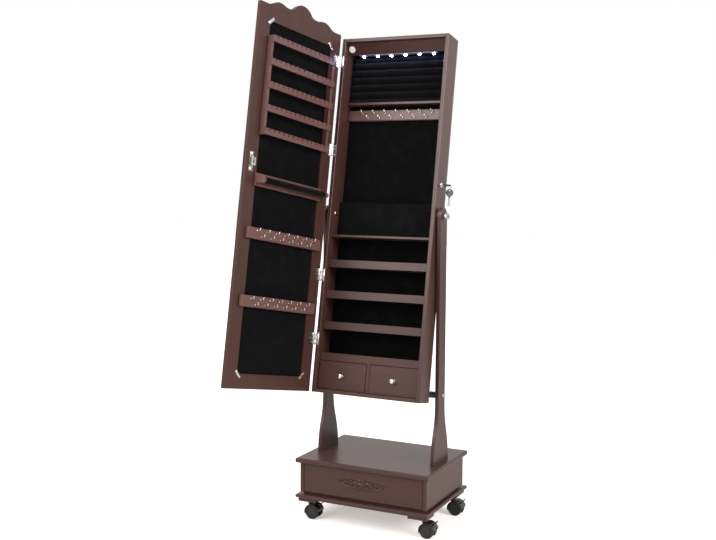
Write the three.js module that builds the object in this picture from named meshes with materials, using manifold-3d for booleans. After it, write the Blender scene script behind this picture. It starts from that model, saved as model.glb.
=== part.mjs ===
// Free-standing jewelry mirror cabinet: a tall, shallow cabinet that tilts between two
// uprights on a low rolling base. The mirrored door stands open and carries earring,
// bracelet and necklace holders; the inside has lamps, a ring cushion, hooks, a cloth
// pocket, four cosmetic shelves and two small drawers. A wide drawer fills the base.
//
// Millimetres, +Z up. The origin is the middle of the base's top face, +X is the right
// hand side as one faces the cabinet and -Y is the front. Pieces that rest on or in each
// other keep the small SEAT gap between their faces.
import * as THREE from 'three';
import { mergeVertices } from 'three/addons/utils/BufferGeometryUtils.js';
import Module from 'manifold-3d';

const wasm = await Module();
wasm.setup();

// ---------------------------------------------------------------- driving dimensions
const SEAT = 0.3; // gap between faces that rest on each other
const EASE = 1.2; // chamfer along the edges of the boards
const RUN = 1.5; // running clearance round drawers
const ROUND = 18; // sides of a small turned piece

// Base
const BASE_MARGIN = 25; // top board's edge outside the uprights
const BASE_TOP_DEPTH = 340;
const BASE_TOP_THICKNESS = 16;
const BASE_TOP_NOSE = 5; // rounding of the top board's edge
const BASE_SIDE_STEP = 10.5; // box inside the top board's edge, at the sides
const BASE_END_STEP = 14; // and at the front and the back
const BASE_BOX_HEIGHT = 96.6;
const BASE_WALL = 12;
const BASE_BOTTOM_THICKNESS = 11;
const BASE_BOTTOM_NOSE = 4;
const SHADOW_LINE_HEIGHT = 6; // recessed step between bottom board and box
const SHADOW_LINE_INSET = 9;
const PLINTH_HEIGHT = 12.4;
const PLINTH_INSET = 7; // plinth face behind the bottom board's edge
const PLINTH_THICKNESS = 12;
const PLINTH_FOOT_WIDTH = 63; // corner foot, seen from the front
const PLINTH_FOOT_DEPTH = 60; // corner foot, seen from the side
const PLINTH_RISE = 8.4; // height of the cut-out between the feet
const RUNNER_WIDTH = 10;
const RUNNER_HEIGHT = 8;
const BASE_FRONT_THICKNESS = 14;
const TRAY_WALL = 9;
const TRAY_HEIGHT = 68;
const ORNAMENT_REACH = 80; // half the width of the carved scroll
const ORNAMENT_RELIEF = 4;

// Casters
const CASTER_HEIGHT = 63;
const CASTER_FROM_SIDE = 30; // swivel axis inside the base's edge, at the sides
const CASTER_FROM_END = 49; // and at the front and the back
const CASTER_TRAIL = 12;
const WHEEL_RADIUS = 23;
const WHEEL_WIDTH = 14;
const AXLE_RADIUS = 3;
const CASTER_WEB = 9; // middle web that holds the axle
const WHEEL_CLEARANCE = 1;
const HOOD_WALL = 2.4;
const CASTER_PLATE = 38;
const CASTER_PLATE_THICKNESS = 2.4;
const CASTER_STEM_RADIUS = 9;
const BRAKE_WIDTH = 14;
const BRAKE_LENGTH = 13;
const BRAKE_THICKNESS = 2.6;
const BRAKE_BARREL_RADIUS = 3;
const BRAKE_PLACE = 47; // degrees round the hood from level
const HOOD_ARC = [8, 196]; // degrees from level, where the hood starts and ends
const WEB_ARC = [-30, 225]; // and the web

// Uprights
const PIVOT_HEIGHT = 779.2; // tilt axis above the base's top face
const PIVOT_BACK = -4; // tilt axis from the middle, front to back
const POST_CLEARANCE = 6.5; // upright to the cabinet's side
const POST_THICKNESS = 12.5;
const POST_HALF_WIDTH = 27;
const POST_FOOT_HALF = 61;
const POST_FOOT_HEIGHT = 8;
const POST_HOUSING = 6; // how deep the feet are let into the base's top board
const POST_FLARE_TOP = 182; // where the foot's curve starts, above the base
const STRETCHER_HEIGHT = 19;
const STRETCHER_DEPTH = 16;
const STRETCHER_CENTRE = 212.6; // above the base
const STRETCHER_BACK = 4; // centre, front to back
const BOLT_HEAD_RADIUS = 5.5;
const BOLT_HEAD_HEIGHT = 2.5;

// Cabinet, from the tilt axis
const TILT = 10.7; // degrees that the cabinet leans back
const CABINET_WIDTH = 372;
const CABINET_DEPTH = 81.3;
const CABINET_ABOVE = 572; // tilt axis to the top
const CABINET_BELOW = 580; // tilt axis to the underside
const AXIS_FROM_FRONT = 34.1; // tilt axis behind the front edges
const WALL = 12;
const BACK_THICKNESS = 5;

// Tilt bolts and knobs
const TILT_BOLT_RADIUS = 4;
const TILT_HOLE_PLAY = 0.4;
const TILT_COLLAR_RADIUS = 9;
const TILT_CAP_RADIUS = 8;
const TILT_CAP_HEIGHT = 3;
const KNOB_RADIUS = 11;
const KNOB_LENGTH = 17;

// Door and hinges
const DOOR_OPEN = 103.7; // degrees from closed
const DOOR_THICKNESS = 15.3;
const DOOR_GAP = 2.6; // door's inner face to the cabinet's front edges
const DOOR_ABOVE_TOP = 12; // shoulders of the crown above the cabinet's top
const CROWN_RISE = 39;
const HINGE_OUT = 3; // pin axis outside the cabinet's side
const HINGE_FROM_TOP = 77; // highest hinge's middle below the cabinet's top
const HINGE_FROM_FOOT = 170; // lowest hinge's middle above its underside
const INNER_HINGES = [203, -205]; // the two between them, from the tilt axis
const HINGE_LENGTH = 39;
const LEAF_THICKNESS = 0.9;
const DOOR_LEAF_WIDTH = 28;
const CABINET_LEAF_WIDTH = 10;
const KNUCKLE_RADIUS = 2.6;
const PIN_RADIUS = 1.1;
const PIN_PLAY = 0.35;
const DOOR_STILE = 46; // width of the frame beside the panel
const DOOR_TOP_RAIL = 50; // panel's top below the shoulders
const DOOR_FOOT_RAIL = 45;
const DOOR_LIP = 8; // front lip that holds the mirror
const DOOR_LIP_THICKNESS = 4;
const MIRROR_THICKNESS = 3;
const DOOR_LINING_THICKNESS = 3;
const GRIP_TOP = 138; // finger groove in the free edge
const GRIP_BOTTOM = 31;
const GRIP_RADIUS = 4;

// Holders on the door
const RACK_OVERLAP = 4.5; // rack's ends over the stiles
const RACK_DROP = 47; // rack's top below the panel's top
const RACK_HEIGHT = 304;
const RACK_BOARD = 9;
const RACK_DEPTH = 20;
const RACK_RAILS = 5;
const RAIL_HEIGHT = 20;
const RAIL_THICKNESS = 6;
const RAIL_NOTCHES = 13;
const NOTCH_WIDTH = 3.2;
const NOTCH_DEPTH = 8;
const HOOK_BAR_OVERLAP = 22.5; // door bars' ends over the stiles
const HOOK_BAR_HEIGHT = 35;
const HOOK_BAR_THICKNESS = 12;
const DOOR_BAR_TOPS = [-97, -301];
const HOOK_REACH = 12;
const HOOK_RISE = 6;
const HOOK_RADIUS = 1.6;
const HOOK_PITCH = 41;
const BRACELET_TOP = 66;
const BRACELET_BACK_HEIGHT = 39;
const BRACELET_BACK_THICKNESS = 8;
const BRACELET_OVERLAP = 8; // holder's ends over the stiles
const BRACELET_ROD_RADIUS = 9;
const BRACELET_STANDOFF = 9; // clear room for bracelets behind the rod
const BRACELET_ARM = 13;
const BRACELET_BALL_RADIUS = 8.5;
const KEEPER_HEIGHT = 60;
const KEEPER_WIDTH = 16;
const KEEPER_PLATE = 1.6;
const KEEPER_REACH = 11;
const KEEPER_SLOT = 7;
const KEEPER_CHEEK = 26; // height of the cheeks beside the slot
const KEEPER_BAR = 3.2;
const KEEPER_BAR_TOP = -7; // below the lock's axis

// Light unit
const FASCIA_TOP_SET = 12; // behind the front edges, at the top
const FASCIA_FOOT_SET = 36; // behind the front edges, at the foot
const FASCIA_DROP = 33;
const FASCIA_THICKNESS = 6;
const BATTERY_WIDTH = 120;
const BATTERY_HEIGHT = 20;
const BATTERY_DEPTH = 17;
const SWITCH_RADIUS = 11;
const SWITCH_STEM_RADIUS = 6;
const SWITCH_TRAVEL = 1.5;
const SWITCH_HEIGHT = 3;
const SWITCH_FROM_WALL = 14;
const LAMP_COUNT = 6;
const LAMP_PITCH = 49.3;
const LAMP_RADIUS = 4;
const LAMP_STRIP_DEPTH = 12;
const LAMP_STRIP_THICKNESS = 4;

// Ring tray, hooks, pocket, shelves and drawers
const RING_ROOM = 189; // ring shelf's top below the ceiling
const RING_SHELF_THICKNESS = 9;
const RING_SHELF_SET = 48;
const RING_ROWS = 6;
const RING_CUSHION_HEAD = 42; // cushion's top below the ceiling, shelf gap aside
const RING_CUSHION_SET = 51;
const RING_ROLL_DEPTH = 10;
const NECKLACE_BAR_DROP = 23; // bar's top below the ring shelf's top
const POCKET_TOP = 40;
const POCKET_SET = 50;
const POCKET_CLOTH = 3.5;
const POCKET_FOLDS = 7;
const POCKET_FULLNESS = 4;
const POCKET_SHELF_TOP = -70;
const POCKET_SHELF_THICKNESS = 8;
const POCKET_SHELF_SET = 20;
const SHELF_COUNT = 4;
const DRAWER_ROOM = 91.5; // from the floor to the last shelf
const SHELF_PITCH = 100;
const SHELF_THICKNESS = 6;
const SHELF_SET = 17;
const LIP_HEIGHT = 24.5;
const LIP_THICKNESS = 8;
const DIVIDER_WIDTH = 12;
const DRAWER_SET = 14;
const DRAWER_FRONT_THICKNESS = 10;
const DRAWER_WALL = 6;
const DRAWER_SIDE_HEIGHT = 62;
const PULL_RADIUS = 8;
const PULL_LENGTH = 16;

// Lock and keys
const LOCK_SET = 35; // lock axis behind the front edges
const LOCK_HEIGHT = 97;
const LOCK_FLANGE_RADIUS = 9;
const LOCK_FLANGE_THICKNESS = 2;
const LOCK_BODY_RADIUS = 7;
const LOCK_BODY_INSIDE = 7; // how far the body stands inside the wall
const PLUG_RADIUS = 4.6;
const CAM_LENGTH = 33;
const CAM_WIDTH = 9;
const CAM_THICKNESS = 2.4;
const CAM_TOOTH = 5; // how far the hooked tip stands out of the cam's edge
const CAM_TIP = 4;
const KEY_BOW_RADIUS = 12;
const KEY_BOW_THICKNESS = 2.5;
const KEY_BLADE_WIDTH = 6;
const KEY_BLADE_THICKNESS = 1.8;
const KEY_BLADE_LENGTH = 24;
const KEY_NECK = 6; // bare blade between lock and bow
const KEY_HOLE_RADIUS = 2.5;
const KEY_HOLE_SET = 4.6; // hole's middle inside the bow's rim
const RING_RADIUS = 8;
const RING_WIRE_RADIUS = 0.6;

// ---------------------------------------------------------------- worked-out places
const POST_INNER = CABINET_WIDTH / 2 + POST_CLEARANCE;
const POST_OUTER = POST_INNER + POST_THICKNESS;
const BASE_TOP_WIDTH = 2 * (POST_OUTER + BASE_MARGIN);
const BASE_BOX_WIDTH = BASE_TOP_WIDTH - 2 * BASE_SIDE_STEP;
const BASE_BOX_DEPTH = BASE_TOP_DEPTH - 2 * BASE_END_STEP;
const CASTER_SIDE = BASE_TOP_WIDTH / 2 - CASTER_FROM_SIDE;
const CASTER_FORE = BASE_TOP_DEPTH / 2 - CASTER_FROM_END;
const WALL_FACE = CABINET_WIDTH / 2 - WALL;
const FRONT = -AXIS_FROM_FRONT;
const LINING = FRONT + CABINET_DEPTH - BACK_THICKNESS;
const CEILING = CABINET_ABOVE - WALL;
const FLOOR = WALL - CABINET_BELOW;
const INNER_WIDTH = 2 * WALL_FACE - 2 * SEAT;
const HINGE_X = -CABINET_WIDTH / 2 - HINGE_OUT;
const HINGE_Y = FRONT - DOOR_GAP / 2;
const DOOR_MIDDLE = HINGE_OUT + CABINET_WIDTH / 2; // along the door from the pin axis
const DOOR_FACE = -DOOR_GAP / 2; // door's inner face, behind the pin axis when closed
const DOOR_SHOULDER = CABINET_ABOVE + DOOR_ABOVE_TOP;
const DOOR_FOOT = CABINET_BELOW;
const DOOR_PANEL_WIDTH = CABINET_WIDTH - 2 * DOOR_STILE;
const DOOR_PANEL_TOP = DOOR_SHOULDER - DOOR_TOP_RAIL;
const DOOR_PANEL_BOTTOM = DOOR_FOOT_RAIL - DOOR_FOOT;
const HINGE_HEIGHTS = [CABINET_ABOVE - HINGE_FROM_TOP, ...INNER_HINGES, HINGE_FROM_FOOT - CABINET_BELOW];
const RACK_WIDTH = DOOR_PANEL_WIDTH + 2 * RACK_OVERLAP;
const RACK_BOTTOM = DOOR_PANEL_TOP - RACK_DROP - RACK_HEIGHT;
const HOOK_BAR_LENGTH = DOOR_PANEL_WIDTH + 2 * HOOK_BAR_OVERLAP;
const BRACELET_LENGTH = DOOR_PANEL_WIDTH + 2 * BRACELET_OVERLAP;
const SWITCH_SIDE = WALL_FACE - SWITCH_FROM_WALL;
const RING_SHELF_TOP = CEILING - RING_ROOM;
const RING_CUSHION_HEIGHT = RING_ROOM - RING_CUSHION_HEAD;
const NECKLACE_BAR_TOP = RING_SHELF_TOP - NECKLACE_BAR_DROP;
const BOX_TOP = -BASE_TOP_THICKNESS - SEAT;
const BOX_BOTTOM = BOX_TOP - BASE_BOX_HEIGHT;
const STEP_TOP = BOX_BOTTOM - SEAT;
const BOTTOM_FACE = STEP_TOP - SHADOW_LINE_HEIGHT - BASE_BOTTOM_THICKNESS;
const PLINTH_FACE = BOTTOM_FACE - PLINTH_HEIGHT;
const GROUND = PLINTH_FACE - SEAT - CASTER_HEIGHT;
const KEY_HOLE_PLACE = KEY_NECK + 2 * KEY_BOW_RADIUS - KEY_HOLE_SET; // along the key
const KEY_RIM = Math.sqrt(KEY_BOW_RADIUS ** 2 - (KEY_BOW_RADIUS - KEY_HOLE_SET) ** 2); // beside the hole
const KEY_WEB_MIDDLE = (KEY_RIM + KEY_HOLE_RADIUS) / 2;
const RING_RISE = RING_RADIUS + KEY_BOW_THICKNESS / 2 + 2 * SEAT
  - Math.sqrt((RING_RADIUS - RING_WIRE_RADIUS) ** 2 - ((KEY_RIM - KEY_HOLE_RADIUS) / 2) ** 2);

// ---------------------------------------------------------------- materials
const paint = (color, roughness, metalness = 0) => (
  new THREE.MeshStandardMaterial({ color, roughness, metalness }));
const BROWN_WOOD = paint('#4e3a34', 0.42);
const BLACK_VELVET = paint('#0f0e10', 0.95);
const MIRROR_GLASS = paint('#dfe6ea', 0.03, 1);
const NICKEL = paint('#c9c7c2', 0.25, 1);
const CHROME = paint('#dcdcde', 0.12, 1);
const BLACK_PLASTIC = paint('#161616', 0.45);
const WHITE_PLASTIC = paint('#f1efea', 0.4);
const KEY_BLACK = paint('#1b1d1c', 0.5);

// ---------------------------------------------------------------- solids
/** A closed geometry as a solid that can be joined and cut, its faces turned outwards. */
function solid(geometry) {
  const bare = geometry.clone();
  bare.deleteAttribute('normal');
  bare.deleteAttribute('uv');
  const merged = mergeVertices(bare, 1e-4);
  const triangles = [];
  const index = merged.index.array;
  for (let i = 0; i < index.length; i += 3) {
    const [a, b, c] = [index[i], index[i + 1], index[i + 2]];
    if (a !== b && b !== c && c !== a) triangles.push(a, b, c);
  }
  const points = merged.attributes.position;
  const corner = (i) => new THREE.Vector3().fromBufferAttribute(points, triangles[i]);
  let volume = 0;
  for (let i = 0; i < triangles.length; i += 3) volume += corner(i).dot(corner(i + 1).cross(corner(i + 2)));
  if (volume < 0) triangles.reverse();
  return new wasm.Manifold(new wasm.Mesh({
    numProp: 3,
    vertProperties: new Float32Array(points.array),
    triVerts: new Uint32Array(triangles),
  }));
}

/** The solid's faces as a three.js geometry with flat normals. */
function faces(body) {
  const mesh = body.getMesh();
  const geometry = new THREE.BufferGeometry();
  geometry.setAttribute('position', new THREE.BufferAttribute(new Float32Array(mesh.vertProperties), 3));
  geometry.setIndex(new THREE.BufferAttribute(new Uint32Array(mesh.triVerts), 1));
  const flat = geometry.toNonIndexed();
  flat.computeVertexNormals();
  return flat;
}

/** Joins overlapping geometries into one. */
function join(...parts) {
  let body = solid(parts[0]);
  for (const part of parts.slice(1)) body = body.add(solid(part));
  return faces(body);
}

/** Cuts the tools out of a blank. */
function cut(blank, ...tools) {
  let body = solid(blank);
  for (const tool of tools) body = body.subtract(solid(tool));
  return faces(body);
}

/** Moves a geometry and gives it back. */
function at(geometry, x, y, z) {
  return geometry.translate(x, y, z);
}

/** An outline through [a, b] points. */
function outline(points) {
  return new THREE.Shape(points.map(([a, b]) => new THREE.Vector2(a, b)));
}

/** An outline extruded by thickness, centred on its plane, with its edges eased. */
function plate(shape, thickness, ease = 0, steps = 1, curveSegments = 8) {
  const geometry = new THREE.ExtrudeGeometry(shape, {
    depth: thickness - 2 * ease,
    bevelEnabled: ease > 0,
    bevelThickness: ease,
    bevelSize: ease,
    bevelOffset: -ease,
    bevelSegments: steps,
    curveSegments,
  });
  return geometry.translate(0, 0, ease - thickness / 2);
}

/** Turns an outline drawn in (y, z) and extruded forward into a piece that runs along x. */
function alongX(geometry) {
  const turn = new THREE.Matrix4().makeBasis(
    new THREE.Vector3(0, 1, 0), new THREE.Vector3(0, 0, 1), new THREE.Vector3(1, 0, 0));
  return geometry.applyMatrix4(turn);
}

/** Turns an outline drawn in (x, z) and extruded forward into a piece that runs along y. */
function alongY(geometry) {
  return geometry.rotateX(Math.PI / 2);
}

/** A rectangular board centred on the origin, its long edges eased. */
function board(width, depth, height, ease = EASE, steps = 1) {
  const least = Math.min(width, depth, height);
  const rectangle = (a, b) => (
    outline([[-a / 2, -b / 2], [a / 2, -b / 2], [a / 2, b / 2], [-a / 2, b / 2]]));
  const chamfer = Math.min(ease, 0.3 * least);
  if (least === height) return plate(rectangle(width, depth), height, chamfer, steps);
  if (least === depth) return alongY(plate(rectangle(width, height), depth, chamfer, steps));
  return alongX(plate(rectangle(depth, height), width, chamfer, steps));
}

/** A plain block between two corners. */
function block([x0, y0, z0], [x1, y1, z1]) {
  const geometry = new THREE.BoxGeometry(x1 - x0, y1 - y0, z1 - z0);
  return geometry.translate((x0 + x1) / 2, (y0 + y1) / 2, (z0 + z1) / 2);
}

/** A round bar along one axis, centred on the origin. */
function bar(radius, length, axis, sides = ROUND) {
  const geometry = new THREE.CylinderGeometry(radius, radius, length, sides);
  if (axis === 'x') geometry.rotateZ(-Math.PI / 2);
  if (axis === 'z') geometry.rotateX(Math.PI / 2);
  return geometry;
}

/** A profile of [radius, height] points turned round the y axis; it starts and ends on it. */
function turned(profile, sides = ROUND) {
  return new THREE.LatheGeometry(profile.map(([r, h]) => new THREE.Vector2(r, h)), sides);
}

/** A closed skin over rings of points; flatten gives a ring's outline, anticlockwise from its far side. */
function loft(rings, flatten) {
  const size = rings[0].length;
  const last = (rings.length - 1) * size;
  const index = [];
  for (let start = 0; start < last; start += size) {
    for (let i = 0; i < size; i += 1) {
      const [a, b] = [start + i, start + ((i + 1) % size)];
      index.push(a, b, b + size, a, b + size, a + size);
    }
  }
  for (const [a, b, c] of THREE.ShapeUtils.triangulateShape(rings[0].map(flatten), [])) {
    index.push(a, c, b);
  }
  for (const [a, b, c] of THREE.ShapeUtils.triangulateShape(rings.at(-1).map(flatten), [])) {
    index.push(last + a, last + b, last + c);
  }
  const geometry = new THREE.BufferGeometry();
  geometry.setAttribute('position', new THREE.BufferAttribute(new Float32Array(rings.flat(2)), 3));
  geometry.setIndex(index);
  return geometry;
}

/** Adds a mesh to its group. */
function place(group, name, geometry, material, x = 0, y = 0, z = 0) {
  const mesh = new THREE.Mesh(geometry, material.clone());
  mesh.name = name;
  mesh.position.set(x, y, z);
  group.add(mesh);
  return mesh;
}

/** A thin tube through points, closed at both ends. */
function tube(points, radius, steps, sides = 6) {
  const section = new THREE.Shape();
  for (let i = 0; i < sides; i += 1) {
    const angle = (2 * Math.PI * i) / sides;
    const [a, b] = [radius * Math.cos(angle), radius * Math.sin(angle)];
    if (i === 0) section.moveTo(a, b);
    else section.lineTo(a, b);
  }
  const path = new THREE.CatmullRomCurve3(points.map(([x, y, z]) => new THREE.Vector3(x, y, z)));
  return new THREE.ExtrudeGeometry(section, { steps, extrudePath: path, curveSegments: 1 });
}

// ---------------------------------------------------------------- base
/** The top board with its rounded edge and the shallow housings for the uprights' feet. */
function baseTopGeometry() {
  const top = BASE_TOP_THICKNESS / 2;
  const middle = POST_OUTER - POST_THICKNESS / 2;
  const [x, y] = [POST_THICKNESS / 2 + SEAT, POST_FOOT_HALF + SEAT];
  const housings = [-1, 1].map((side) => block([side * middle - x, PIVOT_BACK - y, top - POST_HOUSING],
    [side * middle + x, PIVOT_BACK + y, top + 1]));
  return cut(board(BASE_TOP_WIDTH, BASE_TOP_DEPTH, BASE_TOP_THICKNESS, BASE_TOP_NOSE, 3), ...housings);
}

/** The plinth under the bottom board: four corner feet with a raised apron between them. */
function plinthGeometry() {
  const [width, depth] = [BASE_TOP_WIDTH - 2 * PLINTH_INSET, BASE_TOP_DEPTH - 2 * PLINTH_INSET];
  const ring = outline([[-width / 2, -depth / 2], [width / 2, -depth / 2],
    [width / 2, depth / 2], [-width / 2, depth / 2]]);
  const [inX, inY] = [width / 2 - PLINTH_THICKNESS, depth / 2 - PLINTH_THICKNESS];
  ring.holes.push(new THREE.Path([[-inX, -inY], [-inX, inY], [inX, inY], [inX, -inY]]
    .map(([x, y]) => new THREE.Vector2(x, y))));
  const apron = PLINTH_HEIGHT - PLINTH_RISE;
  const pieces = [at(plate(ring, apron), 0, 0, -apron / 2)];
  for (const x of [-1, 1]) {
    for (const y of [-1, 1]) {
      const foot = board(PLINTH_FOOT_WIDTH, PLINTH_FOOT_DEPTH, PLINTH_HEIGHT, 1);
      pieces.push(at(foot, x * (width - PLINTH_FOOT_WIDTH) / 2,
        y * (depth - PLINTH_FOOT_DEPTH) / 2, -PLINTH_HEIGHT / 2));
    }
  }
  return pieces;
}

/** Bottom board with the recessed step that makes the shadow line, and the plinth glued under it. */
function baseBottomGeometry() {
  const nose = board(BASE_TOP_WIDTH, BASE_TOP_DEPTH, BASE_BOTTOM_THICKNESS, BASE_BOTTOM_NOSE, 3);
  const [stepX, stepY] = [BASE_BOX_WIDTH / 2 - SHADOW_LINE_INSET, BASE_BOX_DEPTH / 2 - SHADOW_LINE_INSET];
  const top = BASE_BOTTOM_THICKNESS / 2;
  return join(nose, block([-stepX, -stepY, top - 1], [stepX, stepY, top + SHADOW_LINE_HEIGHT]),
    ...plinthGeometry().map((piece) => at(piece, 0, 0, 0.01 - top)));
}

/** Two sides and a back glued into a U, with a runner along the foot of each side. */
function baseCarcassGeometry() {
  const [x, y] = [BASE_BOX_WIDTH / 2, BASE_BOX_DEPTH / 2];
  const [inX, inY] = [x - BASE_WALL, y - BASE_WALL];
  const walls = outline([[-x, -y], [-inX, -y], [-inX, inY], [inX, inY], [inX, -y], [x, -y], [x, y], [-x, y]]);
  const foot = -BASE_BOX_HEIGHT / 2;
  const front = -y + BASE_FRONT_THICKNESS + RUN;
  const runner = (side) => {
    const [from, to] = [side * (inX - RUNNER_WIDTH), side * (inX + 1)];
    return block([Math.min(from, to), front, foot], [Math.max(from, to), inY + 1, foot + RUNNER_HEIGHT]);
  };
  return join(plate(walls, BASE_BOX_HEIGHT), runner(-1), runner(1));
}

/** One half of the carved scroll on the drawer front, to the side that sign gives. */
function scrollPieces(sign) {
  const reach = ORNAMENT_REACH;
  const flat = (points) => points.map(([a, b]) => [sign * a * reach, 0, b * reach]);
  const stem = flat([[0.06, -0.02], [0.22, 0.13], [0.42, 0.05], [0.6, -0.09], [0.8, -0.03], [0.96, 0.1]]);
  const inner = flat([[0.18, 0.1], [0.3, -0.08], [0.44, -0.15], [0.5, -0.02], [0.42, 0.03]]);
  const outer = flat([[0.55, -0.08], [0.66, 0.09], [0.8, 0.13], [0.84, 0.04], [0.76, 0.01]]);
  const leaf = flat([[0.1, -0.03], [0.18, -0.16], [0.3, -0.21]]);
  return [[stem, 11, 0.042], [inner, 7, 0.034], [outer, 7, 0.03], [leaf, 4, 0.034]]
    .map(([points, steps, share]) => tube(points, share * reach, steps));
}

/** The drawer that fills the base: shaped front, carved scroll and box. */
function baseDrawerGeometry() {
  const width = BASE_BOX_WIDTH - 2 * BASE_WALL - 2 * RUN;
  const height = BASE_BOX_HEIGHT - 2 * RUN;
  const front = board(width, BASE_FRONT_THICKNESS, height);
  const face = -BASE_FRONT_THICKNESS / 2;
  const rosette = turned([[0, 0], [8, 0], [9, 2], [6, ORNAMENT_RELIEF], [3, 3],
    [0, ORNAMENT_RELIEF + 0.6]], 10);
  rosette.rotateX(Math.PI);
  const petals = [];
  for (let i = 0; i < 5; i += 1) {
    const angle = Math.PI / 2 + (2 * Math.PI * i) / 5;
    const petal = new THREE.SphereGeometry(5.4, 7, 4).scale(1, 0.5, 1);
    petals.push(at(petal, 9 * Math.cos(angle), face, 9 * Math.sin(angle)));
  }
  const scrolls = [...scrollPieces(-1), ...scrollPieces(1)].map((piece) => at(piece, 0, face - 0.6, 0));
  const trayWidth = width - 2 * RUN;
  const depth = BASE_BOX_DEPTH - BASE_FRONT_THICKNESS - BASE_WALL - 4 * RUN;
  const foot = RUNNER_HEIGHT + SEAT - BASE_BOX_HEIGHT / 2;
  const [y0, y1] = [BASE_FRONT_THICKNESS / 2 - 1, BASE_FRONT_THICKNESS / 2 + depth];
  const tray = cut(block([-trayWidth / 2, y0, foot], [trayWidth / 2, y1, foot + TRAY_HEIGHT]),
    block([TRAY_WALL - trayWidth / 2, BASE_FRONT_THICKNESS / 2 + TRAY_WALL, foot + TRAY_WALL],
      [trayWidth / 2 - TRAY_WALL, y1 - TRAY_WALL, foot + TRAY_HEIGHT + 1]));
  return join(front, tray, at(rosette, 0, face + 0.2, 0), ...petals, ...scrolls);
}

/** The low box that carries everything, with its wide drawer. */
function base() {
  const group = new THREE.Group();
  place(group, 'base_top_board', baseTopGeometry(), BROWN_WOOD, 0, 0, -BASE_TOP_THICKNESS / 2);
  const middle = (BOX_TOP + BOX_BOTTOM) / 2;
  place(group, 'base_carcass', baseCarcassGeometry(), BROWN_WOOD, 0, 0, middle);
  place(group, 'base_bottom_board', baseBottomGeometry(), BROWN_WOOD,
    0, 0, BOTTOM_FACE + BASE_BOTTOM_THICKNESS / 2);
  place(group, 'base_drawer', baseDrawerGeometry(), BROWN_WOOD,
    0, (BASE_FRONT_THICKNESS - BASE_BOX_DEPTH) / 2, middle);
  return group;
}

// ---------------------------------------------------------------- casters
/** Web, hood, stem and screw plate; the axle's axis is the origin and the stem stands ahead of it. */
function casterHousingGeometry() {
  const inside = WHEEL_RADIUS + WHEEL_CLEARANCE;
  const outside = inside + HOOD_WALL;
  const width = CASTER_WEB + 2 * WHEEL_WIDTH + 2 * WHEEL_CLEARANCE;
  const sector = (radius, from, to, count) => {
    const points = [];
    for (let i = 0; i <= count; i += 1) {
      const angle = THREE.MathUtils.degToRad(from + ((to - from) * i) / count);
      points.push([radius * Math.cos(angle), radius * Math.sin(angle)]);
    }
    return points;
  };
  const [hoodFrom, hoodTo] = HOOD_ARC;
  const hood = outline([...sector(outside, hoodFrom, hoodTo, 11), ...sector(inside, hoodTo, hoodFrom, 11)]);
  const web = outline(sector(outside - 0.5, ...WEB_ARC, 12));
  const mount = CASTER_HEIGHT - WHEEL_RADIUS;
  const bore = bar(AXLE_RADIUS + 2 * SEAT, CASTER_WEB + 4, 'y', 10);
  const stem = at(bar(CASTER_STEM_RADIUS, mount - inside + HOOD_WALL, 'z', 12),
    -CASTER_TRAIL, 0, (mount + inside - HOOD_WALL) / 2);
  const clear = at(bar(inside, WHEEL_WIDTH + 2 * WHEEL_CLEARANCE, 'y', 20),
    0, (CASTER_WEB + WHEEL_WIDTH + 2 * WHEEL_CLEARANCE) / 2, 0);
  const clearOther = clear.clone().translate(0, -(CASTER_WEB + WHEEL_WIDTH + 2 * WHEEL_CLEARANCE), 0);
  const screwPlate = at(board(CASTER_PLATE, CASTER_PLATE, CASTER_PLATE_THICKNESS, 0.5),
    -CASTER_TRAIL, 0, mount - CASTER_PLATE_THICKNESS / 2);
  const turn = THREE.MathUtils.degToRad(BRAKE_PLACE);
  const barrel = outside + BRAKE_BARREL_RADIUS + SEAT;
  const ears = [-1, 1].map((side) => {
    const ear = board(barrel - inside, 2.4, 2 * BRAKE_BARREL_RADIUS, 0.3);
    ear.translate((barrel + inside) / 2, 0, 0).rotateY(-turn);
    return at(ear, 0, side * (BRAKE_WIDTH / 2 + 1.2 + SEAT), 0);
  });
  const body = join(alongY(plate(hood, width)), alongY(plate(web, CASTER_WEB)), stem, screwPlate, ...ears);
  return cut(body, clear, clearOther, bore);
}

/** Twin wheels on one axle. */
function casterWheelsGeometry() {
  const gap = CASTER_WEB / 2 + WHEEL_CLEARANCE;
  const [r, w] = [WHEEL_RADIUS, WHEEL_WIDTH];
  const hub = AXLE_RADIUS + 4;
  const profile = [[0, 0], [r - 1.5, 0], [r, 1.5], [r, w - 1.5], [r - 1.5, w], [r - 4, w],
    [r - 5, w - 1.5], [hub, w - 1.5], [hub, w], [0, w]];
  const wheel = turned(profile, 18);
  const right = wheel.clone().translate(0, gap, 0);
  const left = wheel.clone().rotateX(Math.PI).translate(0, -gap, 0);
  return join(bar(AXLE_RADIUS, 2 * gap + 2, 'y', 10), right, left);
}

/** Brake tab on its barrel; the barrel's axis is the origin. */
function brakeGeometry() {
  const tab = board(BRAKE_LENGTH, BRAKE_WIDTH, BRAKE_THICKNESS, 0.6);
  tab.translate(BRAKE_LENGTH / 2, 0, BRAKE_BARREL_RADIUS - BRAKE_THICKNESS / 2 - 0.2);
  tab.rotateY(-0.6);
  return join(bar(BRAKE_BARREL_RADIUS, BRAKE_WIDTH, 'y', 12), tab);
}

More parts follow.
